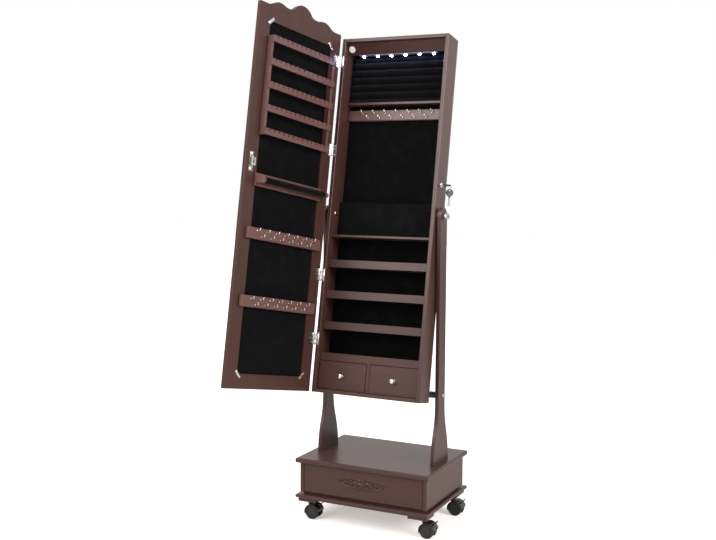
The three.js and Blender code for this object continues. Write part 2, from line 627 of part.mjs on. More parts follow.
/** A swivelling twin-wheel caster with a brake, under one corner foot. */
function caster(corner, side, fore) {
  const group = new THREE.Group();
  group.position.set(side * CASTER_SIDE + CASTER_TRAIL, fore * CASTER_FORE, GROUND + WHEEL_RADIUS);
  place(group, `caster_${corner}_housing`, casterHousingGeometry(), BLACK_PLASTIC);
  place(group, `caster_${corner}_wheels`, casterWheelsGeometry(), BLACK_PLASTIC);
  const reach = WHEEL_RADIUS + WHEEL_CLEARANCE + HOOD_WALL + BRAKE_BARREL_RADIUS + SEAT;
  const turn = THREE.MathUtils.degToRad(BRAKE_PLACE);
  place(group, `caster_${corner}_brake`, brakeGeometry(), BLACK_PLASTIC,
    reach * Math.cos(turn), 0, reach * Math.sin(turn));
  return group;
}

// ---------------------------------------------------------------- uprights
/** One upright: round head about the tilt axis, straight stem and a foot that flares both ways. */
function postGeometry() {
  const [half, foot, drop] = [POST_HALF_WIDTH, POST_FOOT_HALF, PIVOT_HEIGHT + POST_HOUSING - SEAT];
  const flare = POST_FLARE_TOP - PIVOT_HEIGHT;
  const heel = POST_FOOT_HEIGHT + SEAT - PIVOT_HEIGHT;
  const middle = (flare + heel) / 2;
  const shape = new THREE.Shape();
  shape.moveTo(-foot, -drop);
  shape.lineTo(foot, -drop);
  shape.lineTo(foot, heel);
  shape.bezierCurveTo(foot - 4, middle, half, middle + 14, half, flare);
  shape.lineTo(half, 0);
  shape.absarc(0, 0, half, 0, Math.PI, false);
  shape.lineTo(-half, flare);
  shape.bezierCurveTo(-half, middle + 14, 4 - foot, middle, -foot, heel);
  shape.closePath();
  const blank = alongX(plate(shape, POST_THICKNESS, EASE, 1, 9));
  return cut(blank, bar(TILT_BOLT_RADIUS + TILT_HOLE_PLAY, POST_THICKNESS + 4, 'x', 16));
}

/** The rail between the uprights, its bolt heads showing on their outer faces. */
function stretcherGeometry() {
  const length = 2 * POST_INNER - 2 * SEAT;
  return board(length, STRETCHER_DEPTH, STRETCHER_HEIGHT, 3, 2);
}

/** Two uprights and the rail that ties them and stops the cabinet's foot. */
function uprights() {
  const group = new THREE.Group();
  for (const [name, side] of [['left', -1], ['right', 1]]) {
    const head = turned([[0, 0], [BOLT_HEAD_RADIUS, 0], [BOLT_HEAD_RADIUS, 1],
      [BOLT_HEAD_RADIUS - 1.5, BOLT_HEAD_HEIGHT], [0, BOLT_HEAD_HEIGHT]], 12);
    head.rotateZ(-side * Math.PI / 2);
    head.translate(side * (POST_THICKNESS / 2 - 0.1),
      STRETCHER_BACK - PIVOT_BACK, STRETCHER_CENTRE - PIVOT_HEIGHT);
    place(group, `post_${name}`, join(postGeometry(), head), BROWN_WOOD,
      side * (POST_OUTER - POST_THICKNESS / 2), PIVOT_BACK, PIVOT_HEIGHT);
  }
  place(group, 'stretcher', stretcherGeometry(), BROWN_WOOD, 0, STRETCHER_BACK, STRETCHER_CENTRE);
  return group;
}

// ---------------------------------------------------------------- tilt hardware
/** Bolt through cabinet side and upright: cap inside, collar between them, plain end outside. */
function tiltBoltGeometry() {
  const wall = CABINET_WIDTH / 2;
  const inner = WALL_FACE - SEAT - TILT_CAP_HEIGHT;
  const tip = POST_OUTER + KNOB_LENGTH / 2;
  const shank = at(bar(TILT_BOLT_RADIUS, tip - inner - 1, 'x', 16), (tip + inner + 1) / 2, 0, 0);
  const collar = bar(TILT_COLLAR_RADIUS, POST_INNER - wall - 2 * SEAT, 'x');
  collar.translate((POST_INNER + wall) / 2, 0, 0);
  const cap = turned([[0, 0], [TILT_CAP_RADIUS, 0], [TILT_CAP_RADIUS, 1],
    [TILT_CAP_RADIUS - 3, TILT_CAP_HEIGHT], [0, TILT_CAP_HEIGHT]], 16);
  cap.rotateZ(Math.PI / 2);
  return join(shank, collar, at(cap, WALL_FACE - SEAT, 0, 0));
}

/** Domed clamping knob with a blind hole for the bolt's end. */
function tiltKnobGeometry() {
  const [r, l] = [KNOB_RADIUS, KNOB_LENGTH];
  const knob = turned([[0, 0], [r * 0.72, 0], [r * 0.72, 3], [r, 4.5], [r, l * 0.6], [r * 0.86, l * 0.82],
    [r * 0.5, l * 0.96], [0, l]], 18);
  const hole = new THREE.CylinderGeometry(TILT_BOLT_RADIUS + SEAT, TILT_BOLT_RADIUS + SEAT, l, 16);
  return cut(knob, at(hole, 0, SEAT, 0)).rotateZ(-Math.PI / 2);
}

// ---------------------------------------------------------------- cabinet shell
/** The cabinet's half of one hinge: leaf on the front edge, two outer knuckles and the pin. */
function cabinetLeaf(height) {
  const knuckle = HINGE_LENGTH / 3 - 2 * SEAT;
  const leafBack = FRONT + 0.4;
  const leafFront = FRONT - LEAF_THICKNESS;
  const side = -CABINET_WIDTH / 2;
  const half = HINGE_LENGTH / 2;
  const pieces = [
    block([side + 0.3, leafFront, height - half], [side + CABINET_LEAF_WIDTH, leafBack, height + half]),
    at(bar(PIN_RADIUS, HINGE_LENGTH - 2, 'z', 8), HINGE_X, HINGE_Y, height),
  ];
  for (const end of [-1, 1]) {
    const middle = height + end * (half - knuckle / 2);
    pieces.push(at(bar(KNUCKLE_RADIUS, knuckle, 'z', 10), HINGE_X, HINGE_Y, middle));
    pieces.push(block([HINGE_X, leafFront, middle - knuckle / 2],
      [side + 1, FRONT - 0.05, middle + knuckle / 2]));
  }
  return pieces;
}

/** One side board, from foot to top, drilled for the tilt bolt. */
function cabinetSideGeometry(extraParts = [], extraHoles = []) {
  const depth = CABINET_DEPTH - BACK_THICKNESS - SEAT;
  const height = CABINET_ABOVE + CABINET_BELOW;
  const blank = at(board(WALL, depth, height), 0, FRONT + depth / 2, (CABINET_ABOVE - CABINET_BELOW) / 2);
  const hole = bar(TILT_BOLT_RADIUS + TILT_HOLE_PLAY, WALL + 4, 'x', 16);
  return cut(extraParts.length ? join(blank, ...extraParts) : blank, hole, ...extraHoles);
}

/** Sides, top, bottom and back. */
function cabinetShell(group) {
  const side = (CABINET_WIDTH - WALL) / 2;
  const leaves = HINGE_HEIGHTS.flatMap(cabinetLeaf).map((piece) => at(piece, side, 0, 0));
  place(group, 'cabinet_side_left', cabinetSideGeometry(leaves), BROWN_WOOD, -side);
  const lockHole = at(bar(LOCK_BODY_RADIUS + SEAT, WALL + 4, 'x', 18), 0, FRONT + LOCK_SET, LOCK_HEIGHT);
  place(group, 'cabinet_side_right', cabinetSideGeometry([], [lockHole]), BROWN_WOOD, side);
  const depth = CABINET_DEPTH - BACK_THICKNESS - SEAT;
  for (const [name, z] of [['top', CABINET_ABOVE - WALL / 2], ['bottom', WALL / 2 - CABINET_BELOW]]) {
    place(group, `cabinet_${name}`, board(INNER_WIDTH, depth, WALL), BROWN_WOOD, 0, FRONT + depth / 2, z);
  }
  place(group, 'cabinet_back', board(CABINET_WIDTH, BACK_THICKNESS, CABINET_ABOVE + CABINET_BELOW, 0.8),
    BROWN_WOOD, 0, LINING + BACK_THICKNESS / 2, (CABINET_ABOVE - CABINET_BELOW) / 2);
}

// ---------------------------------------------------------------- light unit
/** Sloping fascia with the battery case on its back, the lamp strip under it and the switch. */
function lightUnit(group) {
  const top = CEILING - SEAT;
  const foot = CEILING - FASCIA_DROP;
  const [topY, footY] = [FRONT + FASCIA_TOP_SET, FRONT + FASCIA_FOOT_SET];
  const section = outline([[topY, top], [footY, foot], [footY + FASCIA_THICKNESS, foot],
    [topY + FASCIA_THICKNESS, top]]);
  const slope = Math.atan2(FASCIA_FOOT_SET - FASCIA_TOP_SET, FASCIA_DROP);
  const switchFace = [-SWITCH_SIDE, (topY + footY) / 2, (top + foot) / 2];
  const stemHole = new THREE.CylinderGeometry(SWITCH_STEM_RADIUS + SEAT, SWITCH_STEM_RADIUS + SEAT, 40, 16);
  stemHole.rotateX(slope - Math.PI).translate(...switchFace);
  const caseFront = footY + FASCIA_THICKNESS - 3;
  const batteryCase = block([-BATTERY_WIDTH / 2, caseFront, foot + 2],
    [BATTERY_WIDTH / 2, caseFront + BATTERY_DEPTH, foot + 2 + BATTERY_HEIGHT]);
  const fascia = join(alongX(plate(section, INNER_WIDTH)), batteryCase);
  place(group, 'light_fascia', cut(fascia, stemHole), BROWN_WOOD);

  const length = (LAMP_COUNT - 1) * LAMP_PITCH + 30;
  const strip = board(length, LAMP_STRIP_DEPTH, LAMP_STRIP_THICKNESS, 0.4);
  const lamps = [];
  for (let i = 0; i < LAMP_COUNT; i += 1) {
    const lamp = turned([[0, 0], [LAMP_RADIUS, 0], [LAMP_RADIUS, 1.5], [LAMP_RADIUS * 0.7, 3.2], [0, 4]], 9);
    lamp.rotateX(-Math.PI / 2);
    lamps.push(at(lamp, (i - (LAMP_COUNT - 1) / 2) * LAMP_PITCH, 0, 0.2 - LAMP_STRIP_THICKNESS / 2));
  }
  place(group, 'led_strip', join(strip, ...lamps), WHITE_PLASTIC,
    0, footY + LAMP_STRIP_DEPTH / 2 - 3, foot - SEAT - LAMP_STRIP_THICKNESS / 2);

  const button = turned([[0, -14], [SWITCH_STEM_RADIUS, -14], [SWITCH_STEM_RADIUS, 0], [SWITCH_RADIUS, 0],
    [SWITCH_RADIUS, SWITCH_HEIGHT - 1], [SWITCH_RADIUS - 1.2, SWITCH_HEIGHT], [0, SWITCH_HEIGHT]], 18);
  const stand = new THREE.Group();
  stand.position.set(...switchFace);
  stand.rotation.x = slope - Math.PI;
  place(stand, 'light_switch', join(button), WHITE_PLASTIC, 0, SWITCH_TRAVEL + SEAT, 0);
  group.add(stand);
}

// ---------------------------------------------------------------- ring tray
/** Upholstered ring tray: rolls with a slit between each pair, drawn in at both ends. */
function ringCushionGeometry() {
  const width = INNER_WIDTH - 2 * SEAT;
  const height = RING_CUSHION_HEIGHT;
  const pitch = height / RING_ROWS;
  const depth = LINING - SEAT - (FRONT + RING_CUSHION_SET);
  const core = depth - RING_ROLL_DEPTH;
  const steps = 6;
  const profile = (share) => {
    const points = [[depth, 0], [depth, height]];
    for (let i = RING_ROWS * steps; i >= 0; i -= 1) {
      const bulge = Math.abs(Math.cos((Math.PI * i) / steps)) ** 0.55;
      const swell = core * (0.6 + 0.4 * share) + RING_ROLL_DEPTH * bulge * share;
      points.push([depth - swell, (pitch * i) / steps]);
    }
    return points;
  };
  const rings = [];
  for (const [inset, share] of [[0, 0.35], [2, 0.72], [6, 0.93], [16, 1]]) {
    rings.push([inset - width / 2, share]);
  }
  const stations = [...rings, ...rings.map(([x, share]) => [-x, share]).reverse()];
  return loft(stations.map(([x, share]) => profile(share).map(([y, z]) => [x, y, z])),
    ([, y, z]) => new THREE.Vector2(y, z));
}

/** The ring shelf and its cushion. */
function ringTray(group) {
  const depth = LINING - SEAT - (FRONT + RING_SHELF_SET);
  place(group, 'ring_shelf', board(INNER_WIDTH, depth, RING_SHELF_THICKNESS), BROWN_WOOD,
    0, FRONT + RING_SHELF_SET + depth / 2, RING_SHELF_TOP - RING_SHELF_THICKNESS / 2);
  place(group, 'ring_cushion', faces(solid(ringCushionGeometry())), BLACK_VELVET,
    0, FRONT + RING_CUSHION_SET, RING_SHELF_TOP + SEAT);
}

// ---------------------------------------------------------------- hook bars
/** A rail with two staggered rows of small upturned hooks; the hooks point to -y. */
function hookBarGeometry(length) {
  const rail = board(length, HOOK_BAR_THICKNESS, HOOK_BAR_HEIGHT, 2);
  const count = Math.floor((length - HOOK_PITCH / 2) / HOOK_PITCH);
  const hooks = [];
  for (const [row, height] of [[count, HOOK_BAR_HEIGHT * 0.24], [count - 1, -HOOK_BAR_HEIGHT * 0.24]]) {
    for (let i = 0; i < row; i += 1) {
      const hook = tube([[0, 1, 0], [0, -HOOK_REACH * 0.5, -0.4], [0, -HOOK_REACH * 0.88, 0.8],
        [0, -HOOK_REACH, HOOK_RISE]], HOOK_RADIUS, 4, 5);
      hooks.push(at(hook, (i - (row - 1) / 2) * HOOK_PITCH, -HOOK_BAR_THICKNESS / 2, height));
    }
  }
  return join(rail, ...hooks);
}

// ---------------------------------------------------------------- pocket
/** Gathered cloth pocket: one band that runs from the lining round the front and back. */
function pocketGeometry() {
  const half = INNER_WIDTH / 2 - SEAT;
  const height = POCKET_TOP - POCKET_SHELF_TOP - SEAT;
  const depth = LINING - SEAT - (FRONT + POCKET_SET);
  const span = 2 * half;
  const turn = (x) => (2 * Math.PI * POCKET_FOLDS * (x + half)) / span;
  const fold = (x, fullness) => fullness * (0.5 - 0.5 * Math.cos(turn(x)));
  const count = POCKET_FOLDS * 6;
  const level = ([z, fullness]) => {
    const outer = [];
    const inner = [];
    for (let i = 0; i <= count; i += 1) {
      const x = -half + (span * i) / count;
      const y = 6 * (Math.abs(x) / half) ** 12 + fold(x, fullness);
      outer.push([x, y, z]);
      const tucked = Math.max(POCKET_CLOTH - half, Math.min(half - POCKET_CLOTH, x));
      inner.push([tucked, y + POCKET_CLOTH, z]);
    }
    return [[-half, depth, z], ...outer, [half, depth, z], [half - POCKET_CLOTH, depth, z],
      ...inner.reverse(), [POCKET_CLOTH - half, depth, z]];
  };
  const levels = [[0, 0.35], [0.25, 0.8], [0.6, 1], [0.9, 0.5], [1, 0.3]]
    .map(([share, full]) => [share * height, full * POCKET_FULLNESS]);
  return loft(levels.map(level), ([x, y]) => new THREE.Vector2(x, y));
}

/** The pocket and the shelf that it stands on. */
function pocket(group) {
  const depth = LINING - SEAT - (FRONT + POCKET_SHELF_SET);
  place(group, 'pocket_shelf', board(INNER_WIDTH, depth, POCKET_SHELF_THICKNESS), BROWN_WOOD,
    0, FRONT + POCKET_SHELF_SET + depth / 2, POCKET_SHELF_TOP - POCKET_SHELF_THICKNESS / 2);
  place(group, 'fabric_pocket', faces(solid(pocketGeometry())), BLACK_VELVET,
    0, FRONT + POCKET_SET, POCKET_SHELF_TOP + SEAT);
}

// ---------------------------------------------------------------- shelves and drawers
/** L-shaped shelf; the last one also carries the divider between the drawers. */
function shelfGeometry(divider) {
  const depth = LINING - SEAT - (FRONT + SHELF_SET);
  const section = outline([[0, 0], [depth, 0], [depth, SHELF_THICKNESS], [LIP_THICKNESS, SHELF_THICKNESS],
    [LIP_THICKNESS, LIP_HEIGHT], [0, LIP_HEIGHT]]);
  const shelf = alongX(plate(section, INNER_WIDTH));
  if (!divider) return shelf;
  return join(shelf, block([-DIVIDER_WIDTH / 2, 0, SEAT - DRAWER_ROOM], [DIVIDER_WIDTH / 2, depth, 1]));
}

/** Small drawer: front board and open box in one; the front's middle is the origin. */
function smallDrawerGeometry(width, height) {
  const front = board(width, DRAWER_FRONT_THICKNESS, height);
  const back = DRAWER_FRONT_THICKNESS / 2;
  const depth = LINING - RUN - (FRONT + DRAWER_SET + DRAWER_FRONT_THICKNESS);
  const half = width / 2 - RUN;
  const foot = -height / 2;
  const tray = cut(block([-half, back - 1, foot], [half, back + depth, foot + DRAWER_SIDE_HEIGHT]),
    block([DRAWER_WALL - half, back, foot + DRAWER_WALL],
      [half - DRAWER_WALL, back + depth - DRAWER_WALL, foot + DRAWER_SIDE_HEIGHT + 1]));
  return join(front, tray);
}

/** Round pull with a narrow neck; it points to -y from the origin. */
function pullGeometry() {
  const [r, l] = [PULL_RADIUS, PULL_LENGTH];
  return turned([[0, 0], [r * 0.5, 0], [r * 0.42, l * 0.35], [r * 0.8, l * 0.5], [r, l * 0.7],
    [r * 0.8, l * 0.92], [0, l]], 14).rotateX(Math.PI);
}

/** Four cosmetic shelves and the two drawers under them. */
function shelvesAndDrawers(group) {
  for (let i = 0; i < SHELF_COUNT; i += 1) {
    const last = i === SHELF_COUNT - 1;
    place(group, `cosmetic_shelf_${i + 1}`, shelfGeometry(last), BROWN_WOOD,
      0, FRONT + SHELF_SET, FLOOR + DRAWER_ROOM + (SHELF_COUNT - 1 - i) * SHELF_PITCH);
  }
  const height = DRAWER_ROOM - SEAT - RUN;
  const width = (2 * WALL_FACE - DIVIDER_WIDTH) / 2 - 2 * RUN;
  const middle = FLOOR + SEAT + height / 2;
  for (const [name, side] of [['left', -1], ['right', 1]]) {
    const x = side * (DIVIDER_WIDTH / 2 + RUN + width / 2);
    place(group, `drawer_${name}`, smallDrawerGeometry(width, height), BROWN_WOOD,
      x, FRONT + DRAWER_SET + DRAWER_FRONT_THICKNESS / 2, middle);
    place(group, `drawer_pull_${name}`, pullGeometry(), NICKEL, x, FRONT + DRAWER_SET - SEAT, middle);
  }
}

// ---------------------------------------------------------------- lock and keys
/** Cam lock in the right side: fixed body, turning plug with cam, key and a spare on a ring. */
function lock(group) {
  const stand = new THREE.Group();
  stand.position.set(CABINET_WIDTH / 2, FRONT + LOCK_SET, LOCK_HEIGHT);
  group.add(stand);
  const inner = -WALL - LOCK_BODY_INSIDE;
  const body = turned([[PLUG_RADIUS + SEAT, inner], [LOCK_BODY_RADIUS, inner], [LOCK_BODY_RADIUS, 0.5],
    [LOCK_FLANGE_RADIUS, SEAT], [LOCK_FLANGE_RADIUS, LOCK_FLANGE_THICKNESS],
    [LOCK_FLANGE_RADIUS - 1.2, LOCK_FLANGE_THICKNESS + 1], [PLUG_RADIUS + SEAT, LOCK_FLANGE_THICKNESS + 1],
    [PLUG_RADIUS + SEAT, inner]], 16);
  place(stand, 'lock_body', join(body.rotateZ(-Math.PI / 2)), NICKEL);

  const face = LOCK_FLANGE_THICKNESS + 0.6;
  const plug = at(bar(PLUG_RADIUS, face - inner + 1, 'x', 18), (face + inner - 1) / 2, 0, 0);
  const camX = inner - SEAT - CAM_THICKNESS;
  const cam = block([camX, -CAM_WIDTH / 2, -CAM_WIDTH / 2],
    [camX + CAM_THICKNESS, CAM_WIDTH / 2, CAM_LENGTH]);
  const tooth = block([camX, -CAM_WIDTH / 2 - CAM_TOOTH, CAM_LENGTH - CAM_TIP],
    [camX + CAM_THICKNESS, 0, CAM_LENGTH]);
  const hub = at(bar(PLUG_RADIUS, 4, 'x', 18), inner - 1, 0, 0);
  const slot = block([-KEY_BLADE_LENGTH / 2, -KEY_BLADE_WIDTH / 2 - SEAT, -KEY_BLADE_THICKNESS / 2 - SEAT],
    [face + 1, KEY_BLADE_WIDTH / 2 + SEAT, KEY_BLADE_THICKNESS / 2 + SEAT]);
  place(stand, 'lock_cam', cut(join(plug, hub, cam, tooth), slot), NICKEL);

  place(stand, 'door_key', keyGeometry(KEY_BLADE_LENGTH / 2), KEY_BLACK, face, 0, 0);
  place(stand, 'spare_key', spareKeyGeometry(), KEY_BLACK, face + KEY_HOLE_PLACE, KEY_WEB_MIDDLE, RING_RISE);
}

/** Flat key lying in the xy plane, its shoulder at the origin and its bow towards +x. */
function keyGeometry(tip) {
  const middle = KEY_NECK + KEY_BOW_RADIUS;
  const bow = bar(KEY_BOW_RADIUS, KEY_BOW_THICKNESS, 'z', 20);
  const blade = block([-tip, -KEY_BLADE_WIDTH / 2, -KEY_BLADE_THICKNESS / 2],
    [middle, KEY_BLADE_WIDTH / 2, KEY_BLADE_THICKNESS / 2]);
  const hole = bar(KEY_HOLE_RADIUS, 2 * KEY_BOW_THICKNESS, 'z', 14);
  return cut(join(at(bow, middle, 0, 0), blade), at(hole, KEY_HOLE_PLACE, 0, 0));
}

/** Ring round the rim of the first bow with the spare key below; the ring's top is the origin. */
function spareKeyGeometry() {
  const wire = new THREE.TorusGeometry(RING_RADIUS, RING_WIRE_RADIUS, 5, 16).rotateY(Math.PI / 2);
  const key = keyGeometry(KEY_BLADE_LENGTH).rotateX(Math.PI / 2).rotateY(-Math.PI / 2);
  const drop = -2 * RING_RADIUS + 0.4 - KEY_HOLE_PLACE - KEY_HOLE_RADIUS;
  return join(at(wire, 0, 0, -RING_RADIUS), at(key, 0, 0, drop));
}

// ---------------------------------------------------------------- door
/** Outline of the door as seen from behind when closed: straight foot and scalloped crown. */
function doorOutline() {
  const half = CABINET_WIDTH / 2;
  const [x0, x1] = [DOOR_MIDDLE - half, DOOR_MIDDLE + half];
  const [shoulder, peak] = [DOOR_SHOULDER, DOOR_SHOULDER + CROWN_RISE];
  const crest = shoulder + 0.44 * CROWN_RISE;
  const valley = shoulder + 0.28 * CROWN_RISE;
  const across = (share) => share * half; // from the door's middle
  const shape = new THREE.Shape();
  shape.moveTo(x0, -DOOR_FOOT);
  shape.lineTo(x1, -DOOR_FOOT);
  shape.lineTo(x1, shoulder);
  for (const side of [1, -1]) {
    const x = (share) => DOOR_MIDDLE + side * across(share);
    const scallop = [
      [[0.74, shoulder], [0.66, crest], [0.56, crest]],
      [[0.46, crest], [0.43, valley], [0.36, valley]],
      [[0.29, valley], [0.25, valley + 1], [0.22, crest + 1]],
      [[0.18, peak - 12], [0.11, peak], [0, peak]],
    ];
    if (side === 1) {
      shape.lineTo(x(0.81), shoulder);
      for (const [a, b, c] of scallop) shape.bezierCurveTo(x(a[0]), a[1], x(b[0]), b[1], x(c[0]), c[1]);
    } else {
      const start = [[0.81, shoulder], ...scallop.map((curve) => curve[2])];
      for (let i = scallop.length - 1; i >= 0; i -= 1) {
        const [a, b] = scallop[i];
        const end = start[i];
        shape.bezierCurveTo(x(b[0]), b[1], x(a[0]), a[1], x(end[0]), end[1]);
      }
    }
  }
  shape.lineTo(x0, shoulder);
  shape.closePath();
  return shape;
}

/** A rectangular hole of the door panel's size, grown by margin, through the door's middle. */
function panelBlock(margin, y0, y1) {
  const half = DOOR_PANEL_WIDTH / 2 + margin;
  return block([DOOR_MIDDLE - half, y0, DOOR_PANEL_BOTTOM - margin],
    [DOOR_MIDDLE + half, y1, DOOR_PANEL_TOP + margin]);
}

/** Door frame: one board with a rebated opening, scalloped crown and a finger groove. */
function doorFrameGeometry() {
  const blank = alongY(plate(doorOutline(), DOOR_THICKNESS, EASE, 1, 6));
  blank.translate(0, DOOR_FACE - DOOR_THICKNESS / 2, 0);
  const front = DOOR_FACE - DOOR_THICKNESS;
  const rebate = panelBlock(0, front + DOOR_LIP_THICKNESS, DOOR_FACE + 1);
  const opening = panelBlock(-DOOR_LIP, front - 1, DOOR_FACE + 1);
  const edge = DOOR_MIDDLE + CABINET_WIDTH / 2;
  const groove = at(bar(GRIP_RADIUS, GRIP_TOP - GRIP_BOTTOM, 'z', 16),
    edge + 0.5, DOOR_FACE - DOOR_THICKNESS / 2, (GRIP_TOP + GRIP_BOTTOM) / 2);
  return cut(blank, rebate, opening, groove);
}

/** The door's half of one hinge: leaf on the inner face and the drilled middle knuckle. */
function doorLeafGeometry() {
  const half = HINGE_LENGTH / 2;
  const knuckle = HINGE_LENGTH / 3 - 2 * SEAT;
  const [back, front] = [DOOR_FACE + SEAT, DOOR_FACE + SEAT + LEAF_THICKNESS];
  const leaf = block([HINGE_OUT + 0.3, back, -half], [HINGE_OUT + DOOR_LEAF_WIDTH, front, half]);
  const link = block([0, back, -knuckle / 2], [HINGE_OUT + 1, front, knuckle / 2]);
  return cut(join(leaf, link, bar(KNUCKLE_RADIUS, knuckle, 'z', 12)),
    bar(PIN_RADIUS + PIN_PLAY, HINGE_LENGTH, 'z', 12));
}

/** Earring rack: two side boards and notched rails across their fronts; +y is the front. */
function earringRackGeometry() {
  const half = RACK_WIDTH / 2;
  const height = RACK_HEIGHT;
  const pieces = [-1, 1].map((side) => at(board(RACK_BOARD, RACK_DEPTH, height),
    side * (half - RACK_BOARD / 2), RACK_DEPTH / 2, height / 2));
  const gap = (height - RAIL_HEIGHT) / (RACK_RAILS - 1);
  const pitch = (RACK_WIDTH - 2 * RACK_BOARD) / RAIL_NOTCHES;
  for (let i = 0; i < RACK_RAILS; i += 1) {
    const points = [[-half, 0], [half, 0], [half, RAIL_HEIGHT]];
    for (let n = RAIL_NOTCHES - 1; n >= 0; n -= 1) {
      const x = (n - (RAIL_NOTCHES - 1) / 2) * pitch;
      const [left, right] = [x - NOTCH_WIDTH / 2, x + NOTCH_WIDTH / 2];
      points.push([right, RAIL_HEIGHT], [right, RAIL_HEIGHT - NOTCH_DEPTH],
        [left, RAIL_HEIGHT - NOTCH_DEPTH], [left, RAIL_HEIGHT]);
    }
    points.push([-half, RAIL_HEIGHT]);
    const rail = alongY(plate(outline(points), RAIL_THICKNESS));
    pieces.push(at(rail, 0, RACK_DEPTH + RAIL_THICKNESS / 2 - 0.5, i * gap));
  }
  return join(...pieces);
}

/** Bracelet holder: back rail, end arms and a round rod with a ball on its hinge end. */
function braceletHolderGeometry() {
  const half = BRACELET_LENGTH / 2;
  const back = BRACELET_BACK_THICKNESS;
  const rodY = back + BRACELET_STANDOFF + BRACELET_ROD_RADIUS;
  const rail = at(board(BRACELET_LENGTH, back, BRACELET_BACK_HEIGHT, 2), 0, back / 2, 0);
  const reach = rodY + BRACELET_ROD_RADIUS + 2;
  const arm = board(BRACELET_ARM, reach, 2 * BRACELET_ROD_RADIUS + 6, 2);
  arm.translate(half - BRACELET_ARM / 2, reach / 2, 0);
  const rod = at(bar(BRACELET_ROD_RADIUS, BRACELET_LENGTH - BRACELET_ARM, 'x'), -BRACELET_ARM / 2, rodY, 0);
  const ball = at(new THREE.SphereGeometry(BRACELET_BALL_RADIUS, 12, 8), -half - 4, rodY, 0);
  return join(rail, arm, rod, ball);
}

/** Striker for the lock's cam: screw plate and two cheeks with a bar that the cam's tip drops behind. */
function keeperGeometry() {
  const [w, s, h] = [KEEPER_WIDTH / 2, KEEPER_SLOT / 2, KEEPER_CHEEK / 2];
  const screwPlate = at(board(KEEPER_WIDTH, KEEPER_PLATE, KEEPER_HEIGHT, 0.4), 0, KEEPER_PLATE / 2, 0);
  const boss = turned([[0, 0], [w - 1.5, 0], [w - 2, 2.4], [3, 3.2], [0, 3.2]], 14);
  const bossRise = KEEPER_HEIGHT / 2 - w + 1;
  const bosses = [-1, 1].map((side) => at(boss.clone(), 0, KEEPER_PLATE - SEAT, side * bossRise));
  const cheek = board(w - s, KEEPER_REACH, 2 * h, 0.4);
  cheek.translate((w + s) / 2, KEEPER_PLATE + KEEPER_REACH / 2 - SEAT, 0);
  const end = KEEPER_PLATE + KEEPER_REACH - SEAT;
  const crossbar = block([-s - 1, end - KEEPER_BAR, -h + 0.6], [s + 1, end - 0.6, KEEPER_BAR_TOP]);
  return join(screwPlate, ...bosses, cheek, cheek.clone().translate(-w - s, 0, 0), crossbar);
}

/** The mirrored door with its hinge leaves, holders and striker, closed along +x. */
function door() {
  const group = new THREE.Group();
  place(group, 'door_frame', doorFrameGeometry(), BROWN_WOOD);
  const mirrorFront = DOOR_FACE - DOOR_THICKNESS + DOOR_LIP_THICKNESS + SEAT;
  const height = DOOR_PANEL_TOP - DOOR_PANEL_BOTTOM;
  const middle = (DOOR_PANEL_TOP + DOOR_PANEL_BOTTOM) / 2;
  const sheet = (thickness, ease) => board(DOOR_PANEL_WIDTH - 2 * SEAT, thickness, height - 2 * SEAT, ease);
  place(group, 'door_mirror', sheet(MIRROR_THICKNESS, 0.8), MIRROR_GLASS,
    DOOR_MIDDLE, mirrorFront + MIRROR_THICKNESS / 2, middle);
  place(group, 'door_lining', sheet(DOOR_LINING_THICKNESS, 0.6), BLACK_VELVET,
    DOOR_MIDDLE, mirrorFront + MIRROR_THICKNESS + SEAT + DOOR_LINING_THICKNESS / 2, middle);
  const inner = DOOR_FACE + SEAT;
  HINGE_HEIGHTS.forEach((z, i) => {
    place(group, `door_hinge_leaf_${i + 1}`, doorLeafGeometry(), NICKEL, 0, 0, z);
  });
  place(group, 'earring_rack', earringRackGeometry(), BROWN_WOOD, DOOR_MIDDLE, inner, RACK_BOTTOM);
  place(group, 'bracelet_holder', braceletHolderGeometry(), BROWN_WOOD,
    DOOR_MIDDLE, inner, BRACELET_TOP - BRACELET_BACK_HEIGHT / 2);
  ['upper', 'lower'].forEach((name, i) => {
    const rail = hookBarGeometry(HOOK_BAR_LENGTH).rotateZ(Math.PI);
    place(group, `door_hook_bar_${name}`, rail, BROWN_WOOD,
      DOOR_MIDDLE, inner + HOOK_BAR_THICKNESS / 2, DOOR_BAR_TOPS[i] - HOOK_BAR_HEIGHT / 2);
  });
  const camMiddle = WALL_FACE - LOCK_BODY_INSIDE - SEAT - CAM_THICKNESS / 2;
  place(group, 'door_keeper', keeperGeometry(), NICKEL, camMiddle - HINGE_X, inner, LOCK_HEIGHT);
  return group;
}

// ---------------------------------------------------------------- assembly
/** The tilting cabinet with everything it carries; its origin is the tilt axis. */
function cabinet() {
  const group = new THREE.Group();
  group.position.set(0, PIVOT_BACK, PIVOT_HEIGHT);
  group.rotation.x = -THREE.MathUtils.degToRad(TILT);
  cabinetShell(group);
  lightUnit(group);
  ringTray(group);
  place(group, 'necklace_bar', hookBarGeometry(INNER_WIDTH), BROWN_WOOD,
    0, LINING - SEAT - HOOK_BAR_THICKNESS / 2, NECKLACE_BAR_TOP - HOOK_BAR_HEIGHT / 2);
  pocket(group);
  shelvesAndDrawers(group);
  lock(group);
  for (const [name, turn] of [['left', Math.PI], ['right', 0]]) {
    place(group, `tilt_bolt_${name}`, tiltBoltGeometry().rotateY(turn), NICKEL);
    const knob = tiltKnobGeometry().rotateY(turn);
    place(group, `tilt_knob_${name}`, knob, CHROME, Math.cos(turn) * (POST_OUTER + SEAT), 0, 0);
  }
  const hinged = door();
  hinged.position.set(HINGE_X, HINGE_Y, 0);
  hinged.rotation.z = -THREE.MathUtils.degToRad(DOOR_OPEN);
  group.add(hinged);
  return group;
}

